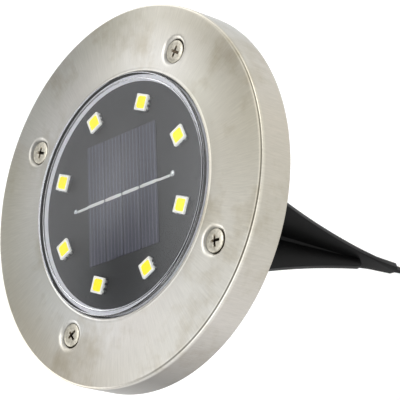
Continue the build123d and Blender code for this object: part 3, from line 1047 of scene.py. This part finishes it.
@dataclass
class CoverScrews:
    """Self-tapping screws with flat countersunk heads and cross recesses."""

    head_radius: float = 3.45
    head_height: float = 1.7
    shank_radius: float = 1.45
    neck_radius: float = 1.9
    rim_height: float = 0.6
    head_round: float = 0.3
    dome: float = 0.12
    point: float = 0.4
    point_length: float = 1.6
    recess_reach: float = 1.95
    recess_width: float = 0.85
    recess_depth: float = 1.2
    recess_point: float = 0.5
    turns: tuple[float, ...] = (30.0, 0.0, 12.0, 63.0)
    screw_circle: float = 44.4

    def build(self) -> None:
        """Model one screw and drive a copy into each dimple."""
        top, bottom = top_of("ring_screws"), bottom_of("ring_screws")
        under = top - self.head_height
        soft = self.head_round
        edge = arc((self.head_radius - soft, top - soft - self.dome * 0.4), soft, 0, 70, 5)
        section = [
            (0, bottom), (self.point, bottom), (self.shank_radius, bottom + self.point_length),
            (self.shank_radius, under), (self.neck_radius, under),
            (self.head_radius - 0.1, top - self.rim_height),
            (self.head_radius, top - self.rim_height + 0.1), *edge,
            (self.head_radius * 0.6, top - 0.02), (self.head_radius * 0.3, top), (0, top),
        ]
        screw = lathe("cover_screw", section, 64)
        combine(screw, self.recess(top), Blend.CUT)
        bevel(screw, 0.05, 2, 50)
        settle(screw, 40)
        for i, turn in enumerate(self.turns):
            step = 360 / len(self.turns) * i
            copy = turned_copy(screw, f"cover_screw_{i + 1}", turn)
            shift(copy, self.screw_circle, 0)
            turn_mesh(copy, step)
            hand_over(copy, TURNED_STAINLESS, "screw_steel", Body.HEAD, "ring_screws")
        bpy.data.objects.remove(screw)

    def recess(self, top: float) -> Piece:
        """Cutter for the cross recess: two crossing wedges that taper to a point.

        Args:
            top: height of the head's top.

        Returns:
            The cutter.
        """
        reach, point, half = self.recess_reach, self.recess_point, self.recess_width / 2
        floor = top - self.recess_depth
        corners = [
            (-reach, top + 0.3), (reach, top + 0.3), (reach, top - 0.1), (point, floor), (-point, floor),
            (-reach, top - 0.1),
        ]
        wedge = slab("wedge", [Vector((x, -half, z)) for x, z in corners], Vector((0, 2 * half, 0)))
        wedges = [turned_copy(wedge, "wedge_turned", turn) for turn in (0, 90)]
        bpy.data.objects.remove(wedge)
        combine(wedges[0], wedges[1], Blend.UNITE)
        return wedges[0]


@dataclass
class ClearCap:
    """Clear cap with a flat top, a rounded edge, an upright wall and a holding flange."""

    wall: float = 1.6
    plate: float = 1.2
    edge: float = 0.45
    radius: float = 36.5
    flange_thickness: float = 1.5
    inner_round: float = 0.5

    def build(self) -> None:
        """Turn the cap from its section."""
        top, bottom = top_of("lens"), bottom_of("lens")
        flange = radius_of("lens")
        inner = self.radius - self.wall
        roof = top - self.plate
        section = [
            (0, roof), *arc((inner - self.inner_round, roof - self.inner_round), self.inner_round, 90, 0, 5),
            (inner, bottom), (flange, bottom), (flange, bottom + self.flange_thickness),
            (self.radius, bottom + self.flange_thickness),
            *arc((self.radius - self.edge, top - self.edge), self.edge, 0, 90, 8), (0, top),
        ]
        cap = lathe("clear_cap", section, 256)
        settle(cap, 35)
        hand_over(cap, CLEAR_CAP, "clear_cap", Body.HEAD, "lens")


@dataclass
class LightBoard:
    """Black board with its lights, and the silicone bead around it."""

    light_count: int = 8
    turn: float = 10.3
    circle: float = 27.5
    size: float = 4.9
    height: float = 1.5
    window: float = 3.7
    lead_pitch: float = 1.5
    lead_width: float = 0.8
    cap_inner: float = 34.85
    cap_foot: float = 9.4
    bead_rise: float = 0.85
    bead_reach: float = 0.5
    corner: float = 0.3
    well: float = 0.45
    window_corner: float = 0.85
    window_gap: float = 0.03
    lead_thickness: float = 0.26
    lead_lift: float = 0.12      # the leads' lower ends hang down this far to the board

    def build(self) -> None:
        """Make the board, the bead, and one light that is copied around."""
        self.board()
        self.bead()
        top = top_of("led_board")
        self.spread(self.frame_piece(top), "light_frames", LIGHT_FRAME, "led_frame", "led_bodies")
        self.spread(self.window_piece(top), "light_windows", PHOSPHOR, "led_phosphor", "led_windows")
        self.spread(self.lead_pieces(top), "light_leads", TINNED, "lead_tin", "led_leads")

    def board(self) -> None:
        """Round board with softened edges."""
        radius, top, bottom = radius_of("led_board"), top_of("led_board"), bottom_of("led_board")
        board = lathe("light_board", [(0, bottom), (radius, bottom), (radius, top), (0, top)], 192)
        bevel(board, 0.15, 2)
        settle(board)
        hand_over(board, BLACK_MASK, "board_black", Body.HEAD, "led_board")

    def bead(self) -> None:
        """Silicone bead under the cap's wall and up its inside, with a hollow fillet onto the board."""
        outer, inner = radius_of("sealant_bead"), radius_of("led_board") + 0.1
        bottom, board = bottom_of("sealant_bead"), top_of("led_board")
        wall, foot, rise = self.cap_inner, self.cap_foot - 0.05, self.bead_rise
        end = wall - self.bead_reach
        section = [
            (inner, bottom), (outer, bottom), (outer, foot), (wall, foot), (wall, board + rise),
            (wall - 0.12, board + rise - 0.05), (wall - 0.25, board + 0.45 * rise), (end, board + 0.1),
            (end - 0.08, board), (inner, board),
        ]
        bead = lathe("sealant_bead_set", section, 192)
        settle(bead, 60)
        hand_over(bead, SILICONE_BEAD, "white_silicone", Body.HEAD, "sealant_bead")

    def frame_piece(self, base: float) -> Piece:
        """White frame of one light, with its well.

        Args:
            base: height of the board's top.

        Returns:
            The frame, on the +X side of the board.
        """
        half = self.size / 2
        low = Vector((self.circle - half, -half, base))
        high = Vector((self.circle + half, half, base + self.height))
        frame_body = brick("light_frame", low, high)
        with editing(frame_body):
            pick(frame_body, Part.EDGES, lambda middle, normal: abs(normal.z) < 0.1)
            bpy.ops.mesh.bevel(offset=self.corner * MM, segments=3, affect="EDGES")
            pick(frame_body, Part.FACES, lambda middle, normal: normal.z > 0.9)
            bpy.ops.mesh.inset(thickness=(self.size - self.window) / 2 * MM)
            bpy.ops.mesh.extrude_region_move(TRANSFORM_OT_translate={"value": (0, 0, -self.well * MM)})
        bevel(frame_body, 0.07, 2)
        return settle(frame_body)

    def window_piece(self, base: float) -> Piece:
        """Yellow window of one light, crowned where the silicone was dropped in.

        Args:
            base: height of the board's top.

        Returns:
            The window, on the +X side of the board.
        """
        half = self.window / 2 - self.window_gap
        low = Vector((self.circle - half, -half, base + self.height - 0.4))
        high = Vector((self.circle + half, half, base + self.height - 0.12))
        pane = brick("light_window", low, high)
        with editing(pane):
            pick(pane, Part.EDGES, lambda middle, normal: abs(normal.z) < 0.1)
            bpy.ops.mesh.bevel(offset=self.window_corner * MM, segments=5, affect="EDGES")
            pick(pane, Part.FACES, lambda middle, normal: normal.z > 0.9)
            bpy.ops.mesh.inset(thickness=0.5 * MM)
            bpy.ops.transform.translate(value=(0, 0, 0.08 * MM))
        bevel(pane, 0.05, 2)
        return settle(pane, 60)

    def lead_pieces(self, base: float) -> Piece:
        """Bent leads at two sides of one light.

        Args:
            base: height of the board's top.

        Returns:
            The six leads as one piece.
        """
        leads = []
        half, thin, lift = self.lead_width / 2, self.lead_thickness / 2, self.lead_lift
        for side in (-1, 1):
            for i in (-1, 0, 1):
                x, y = self.circle + i * self.lead_pitch, side * (self.size / 2 + thin)
                low = Vector((x - half, y - thin, base + lift))
                lead = brick("lead", low, Vector((x + half, y + thin, base + 0.75 + lift)))
                with editing(lead):
                    pick(lead, Part.FACES, lambda middle, normal, s=side: normal.y * s > 0.9)
                    bpy.ops.transform.translate(value=(0, 0, -lift * MM))
                bevel(lead, 0.06, 2)
                leads.append(lead)
        return settle(joined(leads, "light_lead_set"))

    def spread(self, piece: Piece, name: str, finish: Finish, slot: str, node: str) -> None:
        """Copy a piece to every light's place and join the copies.

        Args:
            piece: the piece of one light.
            name: name of the joined piece.
            finish: its finish.
            slot: name of a material slot, passed on to hand_over.
            node: the CAD node it stands for.
        """
        step = 360 / self.light_count
        copies = [turned_copy(piece, f"{name}_{i}", self.turn + step * i) for i in range(self.light_count)]
        bpy.data.objects.remove(piece)
        whole = joined(copies, name)
        hand_over(whole, finish, slot, Body.HEAD, node)


@dataclass
class SolarArray:
    """Four cell strips with a silver ribbon across them and its solder joints."""

    turn: float = 32.8
    strips: int = 4
    width: float = 30.47
    length: float = 37.48
    gap: float = 0.2
    ribbon_width: float = 1.0
    ribbon_break: float = 0.5
    tail: float = 5.0
    tail_width: float = 0.8

    def build(self) -> None:
        """Make the strips, then the ribbon and its joints."""
        pitch = self.width / self.strips
        low, high = bottom_of("solar_strip_1"), top_of("solar_strip_1")
        cell = PrintedCell(
            # Blue grey crystal under a thin coating, with printed silver fingers.
            "printed_silicon_cell", "#24263a", roughness=0.4, shader={"IOR": 1.6, "Specular IOR Level": 0.4},
            turn_deg=self.turn
        )
        reach = self.length / 2
        for i in range(self.strips):
            middle = (i - (self.strips - 1) / 2) * pitch
            half = (pitch - self.gap) / 2
            near, far = Vector((middle - half, -reach, low)), Vector((middle + half, reach, high))
            strip = brick("strip", near, far)
            bevel(strip, 0.05, 2)
            self.place(strip, f"cell_strip_{i + 1}", cell, "solar_cell", f"solar_strip_{i + 1}")
        self.ribbon(pitch)
        self.tails()
        self.joints()

    def place(self, piece: Piece, name: str, finish: Finish, slot: str, node: str) -> None:
        """Turn a piece to the array's angle and hand it over.

        Args:
            piece: the piece, square to the axes.
            name: its final name.
            finish: its finish.
            slot: name of a material slot, passed on to hand_over.
            node: the CAD node it stands for.
        """
        copy = turned_copy(piece, name, self.turn)
        bpy.data.objects.remove(piece)
        settle(copy, 40)
        hand_over(copy, finish, slot, Body.HEAD, node)

    def ribbon(self, pitch: float) -> None:
        """Ribbon stretches, a little narrower at their ends, one on each strip.

        Args:
            pitch: distance from strip to strip.
        """
        low, high = bottom_of("cell_ribbons"), top_of("cell_ribbons")
        pieces = []
        for i in range(self.strips):
            middle = (i - (self.strips - 1) / 2) * pitch
            half = (pitch - self.ribbon_break) / 2
            ribbon = brick(
                "ribbon", Vector((middle - half, -self.ribbon_width / 2, low)),
                Vector((middle + half, self.ribbon_width / 2, high)),
            )
            with editing(ribbon):
                take_all()
                bpy.ops.mesh.subdivide(number_cuts=5)
                pick(ribbon, Part.VERTS, lambda place, _, m=middle: abs(place.x / MM - m) > half - 0.4)
                bpy.ops.transform.resize(value=(1, 0.8, 1), center_override=(middle * MM, 0, high * MM))
            bevel(ribbon, 0.04, 2, 60)
            pieces.append(ribbon)
        self.place(joined(pieces, "ribbon_set"), "cell_ribbon", RIBBON_TIN, "ribbon_tin", "cell_ribbons")

    def tails(self) -> None:
        """Narrow leads from the outer strips down to the board."""
        base = bottom_of("ribbon_tails")
        lift = top_of("cell_ribbons") - base
        pieces = []
        for side in (-1, 1):
            start = side * (self.width / 2 - self.ribbon_break / 2)
            end = side * (self.width / 2 + self.gap + self.tail)
            half = self.tail_width / 2
            outline = [
                Vector((start, -half, base + lift)), Vector((start, -half, base + lift - 0.12)),
                Vector((start + side * 0.9, -half, base + 0.02)), Vector((end, -half, base)),
                Vector((end, -half, base + 0.14)), Vector((start + side * 1.1, -half, base + 0.16)),
            ]
            tail = slab("tail", outline, Vector((0, 2 * half, 0)))
            bevel(tail, 0.04, 2, 50)
            pieces.append(tail)
        self.place(joined(pieces, "tail_set"), "ribbon_tail_leads", RIBBON_TIN, "ribbon_tin", "ribbon_tails")

    def joints(self) -> None:
        """Rounded solder joints at the tails' ends."""
        base = bottom_of("solder_joints")
        height = top_of("solder_joints") - base
        pieces = []
        for side, size in ((-1, 0.75), (1, 1.0)):
            x = side * (self.width / 2 + self.gap + self.tail + size * 0.9)
            deselect_all()
            bpy.ops.mesh.primitive_uv_sphere_add(
                segments=32, ring_count=16, radius=size * MM, location=(x * MM, 0, base * MM)
            )
            blob = bpy.context.object
            bpy.ops.object.transform_apply(location=True, rotation=True, scale=True)
            with editing(blob):
                take_all()
                bpy.ops.transform.resize(value=(1, 1, height / size), center_override=(x * MM, 0, base * MM))
                take_all()
                bpy.ops.mesh.bisect(
                    plane_co=(0, 0, base * MM), plane_no=(0, 0, 1), use_fill=True, clear_inner=True
                )
                pick(blob, Part.VERTS, lambda place, normal, s=side: place.x * s > 0.35 * MM)
                bpy.ops.transform.translate(value=(0, 0.35 * size * MM, 0))
            pieces.append(settle(blob, 50))
        self.place(joined(pieces, "joint_set"), "solder_joint_pair", SOLDER_TIN, "solder", "solder_joints")


@dataclass
class LampHousing:
    """Moulded body: deck under the cover, bowl, screw bosses, spike socket and button guard."""

    wall: float = 2.0
    bowl_inner: float = 36.0
    bowl_round: float = 2.5
    floor: float = -11.0
    deck_radius: float = 56.7
    deck_edge: float = 9.9
    seat_radius: float = 39.2
    seat_top: float = 9.4
    groove: tuple[float, float, float] = (36.95, 38.25, 8.4)
    ledge_top: float = 8.6
    ledge_width: float = 3.0
    socket_outer: float = 10.5
    socket_inner: float = 8.0
    socket_ceiling: float = -6.0
    boss_radius: float = 4.0
    pilot_radius: float = 1.55
    boss_top: float = 8.8
    screw_circle: float = 44.4
    web_count: int = 6
    web_reach: float = 7.0
    web_thickness: float = 1.6
    button_offset: float = 29.0
    guard_outer: float = 5.2
    guard_inner: float = 3.8
    guard_bottom: float = -14.5
    saddle_spread: float = 14.0
    saddle_width: float = 12.5
    saddle_thickness: float = 2.0
    cell_place: tuple[float, float, float] = (17.0, -5.5, 5.4)

    def section(self) -> list[Point]:
        """Closed section of everything that is turned about the lamp's axis.

        Returns:
            Radius and height of each corner.
        """
        mouth = bottom_of("housing")
        outer = self.bowl_inner + self.wall
        under = self.floor - self.wall
        groove_inner, groove_outer, groove_floor = self.groove
        socket = [
            (0, self.socket_ceiling), (self.socket_inner, self.socket_ceiling),
            (self.socket_inner, mouth + 0.4), (self.socket_inner + 0.4, mouth),
            (self.socket_outer - 0.4, mouth), (self.socket_outer, mouth + 0.4),
            (self.socket_outer, under - 0.6), *arc((self.socket_outer + 0.6, under - 0.6), 0.6, 180, 90, 4),
        ]
        bowl = arc((outer - self.bowl_round, under + self.bowl_round), self.bowl_round, -90, 0, 10)
        deck = [
            (outer, 0), (self.deck_radius - 0.3, 0), (self.deck_radius, 0.3),
            (self.deck_radius, self.deck_edge),
            (self.deck_radius - self.wall, self.deck_edge), (self.deck_radius - self.wall, self.wall),
            (self.seat_radius, self.wall), (self.seat_radius, self.seat_top),
        ]
        ledge = self.bowl_inner - self.ledge_width
        inside = [
            (groove_outer, self.seat_top), (groove_outer, groove_floor), (groove_inner, groove_floor),
            (groove_inner, self.seat_top), (self.bowl_inner, self.seat_top),
            (self.bowl_inner, self.ledge_top),
            (ledge, self.ledge_top), (self.bowl_inner, self.ledge_top - self.ledge_width),
            (self.bowl_inner, self.floor), (self.socket_outer, self.floor),
            (self.socket_outer, self.socket_ceiling + self.wall), (0, self.socket_ceiling + self.wall),
        ]
        return [*socket, *bowl, *deck, *inside]

    def tube(self, name: str, size: tuple[float, float, float, float], x: float, y: float) -> Piece:
        """A round wall with softened edges, at a place beside the axis.

        Args:
            name: the tube's name.
            size: outer radius, inner radius, low end and high end.
            x: its place along X.
            y: its place along Y.

        Returns:
            The tube.
        """
        outer, inner, low, high = size
        section = [(inner, low), (outer - 0.2, low), (outer, low + 0.2), (outer, high), (inner, high)]
        tube = lathe(name, section, 64)
        shift(tube, x, y)
        return tube

    def web(self) -> Piece:
        """One stiffening web between the bowl's underside and the socket.

        Returns:
            The web, on the +X side.
        """
        under, mouth = self.floor - self.wall, bottom_of("housing")
        near, far = self.socket_outer - 0.5, self.socket_outer + self.web_reach
        half = self.web_thickness / 2
        corners = [
            (near, under + 0.5), (far, under + 0.5), (far, under), (self.socket_outer, mouth + 2),
            (near, mouth + 2),
        ]
        web = slab("web", [Vector((x, -half, z)) for x, z in corners], Vector((0, 2 * half, 0)))
        bevel(web, 0.2, 2)
        return web

    def saddle(self, side: int) -> Piece:
        """One upright that carries the cell, with its round seat.

        Args:
            side: -1 or 1 along X.

        Returns:
            The upright.
        """
        y, z, radius = self.cell_place
        x = side * self.saddle_spread
        thin, half = self.saddle_thickness / 2, self.saddle_width / 2
        low = Vector((x - thin, y - half, self.floor - 0.5))
        upright = brick("saddle", low, Vector((x + thin, y + half, z)))
        combine(upright, rod(radius, 4, Vector((x, y, z)), lying=True), Blend.CUT)
        return upright

    def build(self) -> None:
        """Turn the body, pierce the button's opening and add what is not round."""
        body = lathe("lamp_housing", self.section(), 192)
        middle = Vector((0, -self.button_offset, self.guard_bottom + 2))
        combine(body, rod(self.guard_inner, 6, middle), Blend.CUT)
        web = self.web()
        step = 360 / self.web_count
        extras = [turned_copy(web, f"web_{i}", 15 + step * i) for i in range(self.web_count)]
        bpy.data.objects.remove(web)
        guard = (self.guard_outer, self.guard_inner, self.guard_bottom, self.floor)
        extras.append(self.tube("guard", guard, 0, -self.button_offset))
        for i in range(4):
            turn = math.radians(90 * i)
            boss = (self.boss_radius, self.pilot_radius, 0.3, self.boss_top)
            place = (self.screw_circle * math.cos(turn), self.screw_circle * math.sin(turn))
            extras.append(self.tube(f"boss_{i}", boss, *place))
        extras.extend([self.saddle(-1), self.saddle(1)])
        whole = joined([body, *extras], "lamp_housing")
        settle(whole, 35)
        hand_over(whole, HOUSING_ABS, "housing_abs", Body.HEAD, "housing")


@dataclass
class PushButton:
    """Red push cap under the bowl, with three grip ribs."""

    radius: float = 3.5
    edge: float = 0.8
    offset: float = 29.0
    rib_stand: float = 0.3
    rib_length: float = 4.0
    rib_pitch: float = 1.2

    def build(self) -> None:
        """Turn the cap and raise the ribs on its face."""
        low, high = bottom_of("button_cap"), top_of("button_cap")
        face = low + self.rib_stand
        section = [
            (0, face), *arc((self.radius - self.edge, face + self.edge), self.edge, -90, 0, 6),
            (self.radius, high), (0, high),
        ]
        pieces = [lathe("push_cap", section, 64)]
        half = self.rib_length / 2
        for i in (-1, 0, 1):
            y = i * self.rib_pitch
            rib = brick("rib", Vector((-half, y - 0.25, low)), Vector((half, y + 0.25, face + 0.4)))
            bevel(rib, 0.12, 2)
            pieces.append(rib)
        cap = joined(pieces, "push_cap")
        shift(cap, 0, -self.offset)
        settle(cap, 40)
        hand_over(cap, BUTTON_RED, "button_plastic", Body.BUTTON, "button_cap")


@dataclass
class SoilSpike:
    """Moulded spike: plug, collar, tapering core and two crossing blades."""

    turn: float = 52.0
    plug_radius: float = 7.95
    plug_length: float = 15.8
    collar_thickness: float = 2.5
    thickness: float = 2.0
    mid_radius: float = 13.4
    mid_drop: float = 25.0
    low_radius: float = 3.8
    low_drop: float = 66.0
    neck_radius: float = 2.5
    end_radius: float = 1.9
    end_drop: float = 84.5
    point_radius: float = 0.8
    corner: float = 1.0

    def flank(self, collar: float, low: float) -> list[Point]:
        """Hollow curve of a blade's edge, an arc through three places.

        Args:
            collar: radius at the collar.
            low: height of the collar's underside.

        Returns:
            Radius and height of each point, from the collar down.
        """
        first = Vector((collar, low))
        middle = Vector((self.mid_radius, low - self.mid_drop))
        last = Vector((self.low_radius, low - self.low_drop))
        a, b = 2 * (middle - first), 2 * (last - first)
        ca = middle.length_squared - first.length_squared
        cb = last.length_squared - first.length_squared
        across = a.x * b.y - a.y * b.x
        centre = Vector(((ca * b.y - cb * a.y) / across, (a.x * cb - b.x * ca) / across))
        start = math.degrees(math.atan2(first.y - centre.y, first.x - centre.x))
        end = math.degrees(math.atan2(last.y - centre.y, last.x - centre.x))
        if end - start > 180:
            end -= 360
        if start - end > 180:
            end += 360
        return arc((centre.x, centre.y), (first - centre).length, start, end, 24)

    def blade(self, name: str, half: list[Point], turn: float) -> Piece:
        """One flat blade from its half outline.

        Args:
            name: name of the blade.
            half: radius and height from the top down to the lowest point.
            turn: the blade's turn about the axis.

        Returns:
            The blade with rounded edges.
        """
        mirrored = [(-r, z) for r, z in reversed(half)]
        outline = [Vector((r, -self.thickness / 2, z)) for r, z in [*half, *mirrored]]
        flat = slab(name, outline, Vector((0, self.thickness, 0)))
        bevel(flat, 0.28, 3, 40)
        turned = turned_copy(flat, name + "_turned", turn)
        bpy.data.objects.remove(flat)
        return turned

    def build(self) -> None:
        """Join plug, collar, core and blades into one moulding."""
        top = top_of("spike")
        tip = bottom_of("spike")
        collar = radius_of("spike")
        mouth = top - self.plug_length
        under = mouth - self.collar_thickness
        flank = self.flank(collar - 0.05, under)
        low = flank[-1][1]
        end = under - self.end_drop
        long_half = [
            (collar - 0.05, under + 0.8), *flank,
            (self.neck_radius, low - (self.end_drop - self.low_drop) * 0.45), (self.end_radius, end),
            (self.point_radius, end - 1.2), (self.point_radius * 0.35, tip),
        ]
        short_half = [
            (collar - 0.05, under + 0.8), *flank,
            (self.low_radius - self.corner * 0.35, low - self.corner * 0.8),
            (self.low_radius - self.corner * 1.3, low - self.corner),
        ]
        section = [
            (0, low + 1), (1.3, low + 1), (2.7, under - 2), (4.5, under),
            *arc((collar - 0.6, under + 0.6), 0.6, -90, 0, 4),
            *arc((collar - 0.6, mouth - 0.6), 0.6, 0, 90, 4),
            (self.plug_radius + 0.4, mouth), (self.plug_radius, mouth + 0.4), (self.plug_radius, top - 0.8),
            (self.plug_radius - 0.8, top), (0, top),
        ]
        spike = lathe("soil_spike", section, 128)
        combine(spike, self.blade("long_blade", long_half, self.turn), Blend.UNITE)
        combine(spike, self.blade("short_blade", short_half, self.turn + 90), Blend.UNITE)
        settle(spike, 38)
        hand_over(spike, SPIKE_ABS, "spike_abs", Body.SPIKE, "spike")


@dataclass
class InnerParts:
    """Pieces inside the housing and the cap's seal: they keep their CAD mesh and get a finish."""

    finishes: dict[str, Finish] = field(default_factory=lambda: dict(INNER_FINISHES))

    def build(self) -> None:
        """Give each CAD node its finish."""
        for name, finish in self.finishes.items():
            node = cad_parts[name]
            node.data.materials.clear()
            node.data.materials.append(finish.material())
            log.info("%s: %s", name, finish.name)


# ---------------------------------------------------------------- studio


@dataclass(frozen=True)
class SoftLight:
    """A large diffused light far away: where it stands, in degrees, and how bright it is."""

    azimuth: float
    elevation: float
    strength: float
    focus: float = 14.0


@dataclass
class Studio:
    """Pale floor, soft lights, a small dark card that the clear cap mirrors, and the camera."""

    fill: float = 0.26
    lights: tuple[SoftLight, ...] = (
        SoftLight(227.5, 72.4, 2.96), SoftLight(307.8, -2.7, 3.91), SoftLight(222.8, -6.3, 3.09),
        SoftLight(45.1, 25.0, 3.33), SoftLight(170.2, -0.9, 5.69), SoftLight(280.0, 59.2, 0.66),
        SoftLight(235.2, 17.3, 2.0), SoftLight(320.2, 21.1, 1.68), SoftLight(97.7, 19.2, 2.51),
        SoftLight(275.3, -11.7, 1.67), SoftLight(277.1, 38.0, 0.6, focus=380.0),
    )
    card: SoftLight = SoftLight(285.2, 42.4, -0.64, focus=154.0)
    aim_mm: Vector = field(default_factory=lambda: Vector((14.09, 6.19, -5.77)))
    azimuth: float = 96.68
    elevation: float = 41.43
    roll: float = 74.28
    distance_mm: float = 600.0
    lens: float = 184.44
    floor_drop_mm: float = 0.5

    def build(self) -> None:
        """Set up camera, floor and lights."""
        self.camera()
        self.floor()
        self.world()
        bpy.context.scene.view_settings.view_transform = "Standard"

    def camera(self) -> None:
        """Camera on its stand, rolled over as the lamp is seen lying on its side."""
        data = bpy.data.cameras.new("camera")
        data.sensor_width = 36.0
        data.lens = self.lens
        data.clip_start = 0.01
        data.clip_end = 20.0
        camera = bpy.data.objects.new("camera", data)
        bpy.context.scene.collection.objects.link(camera)
        back = self.direction(self.azimuth, self.elevation)
        camera.location = self.aim_mm * MM + back * self.distance_mm * MM
        camera.rotation_mode = "QUATERNION"
        level = (-back).to_track_quat("-Z", "Y")
        camera.rotation_quaternion = level @ Quaternion((0, 0, 1), -math.radians(self.roll))
        bpy.context.scene.camera = camera

    def direction(self, azimuth: float, elevation: float) -> Vector:
        """Unit vector from the lamp towards an azimuth and elevation, in degrees."""
        a, e = math.radians(azimuth), math.radians(elevation)
        return Vector((math.sin(a) * math.cos(e), -math.cos(a) * math.cos(e), math.sin(e)))

    def floor(self) -> None:
        """Plain pale floor under the spike's point."""
        deselect_all()
        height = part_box("spike")[0].z - self.floor_drop_mm * MM
        bpy.ops.mesh.primitive_plane_add(size=12.0, location=(0, 0, height))
        floor = named(bpy.context.object, "floor")
        finish = Finish(
            "painted_white_floor", "#f6f6f6", roughness=0.9,
            shader={"Emission Color": linear("#ffffff"), "Emission Strength": 0.25},
        )
        floor.data.materials.append(finish.material())

    def world(self) -> None:
        """Soft white surroundings, brighter where each diffused light stands."""
        world = bpy.data.worlds.new("studio_world")
        world.use_nodes = True
        world.node_tree.nodes.clear()
        glow = add_node(world.node_tree, "Background", inputs={"Color": linear("#ffffff")})
        add_node(world.node_tree, "OutputWorld", inputs={"Surface": (glow, "Background")})
        graph = Graph(world.node_tree, glow)
        total = self.fill
        for light in (*self.lights, self.card):
            towards = tuple(self.direction(light.azimuth, light.elevation))
            facing = graph.vector("DOT_PRODUCT", {0: (graph.place[0], "Generated"), 1: towards})
            soft = graph.math("POWER", graph.math("MAXIMUM", (facing, "Value"), 0.0), light.focus)
            total = graph.math("MULTIPLY_ADD", soft, light.strength, total)
        graph.feed("Strength", total)
        bpy.context.scene.world = world


def main() -> None:
    """Build every sub-assembly in order."""
    Studio().build()
    CoverRing().build()
    CoverScrews().build()
    ClearCap().build()
    LightBoard().build()
    SolarArray().build()
    LampHousing().build()
    PushButton().build()
    SoilSpike().build()
    InnerParts().build()
    deselect_all()


if __name__ == "__main__":
    main()
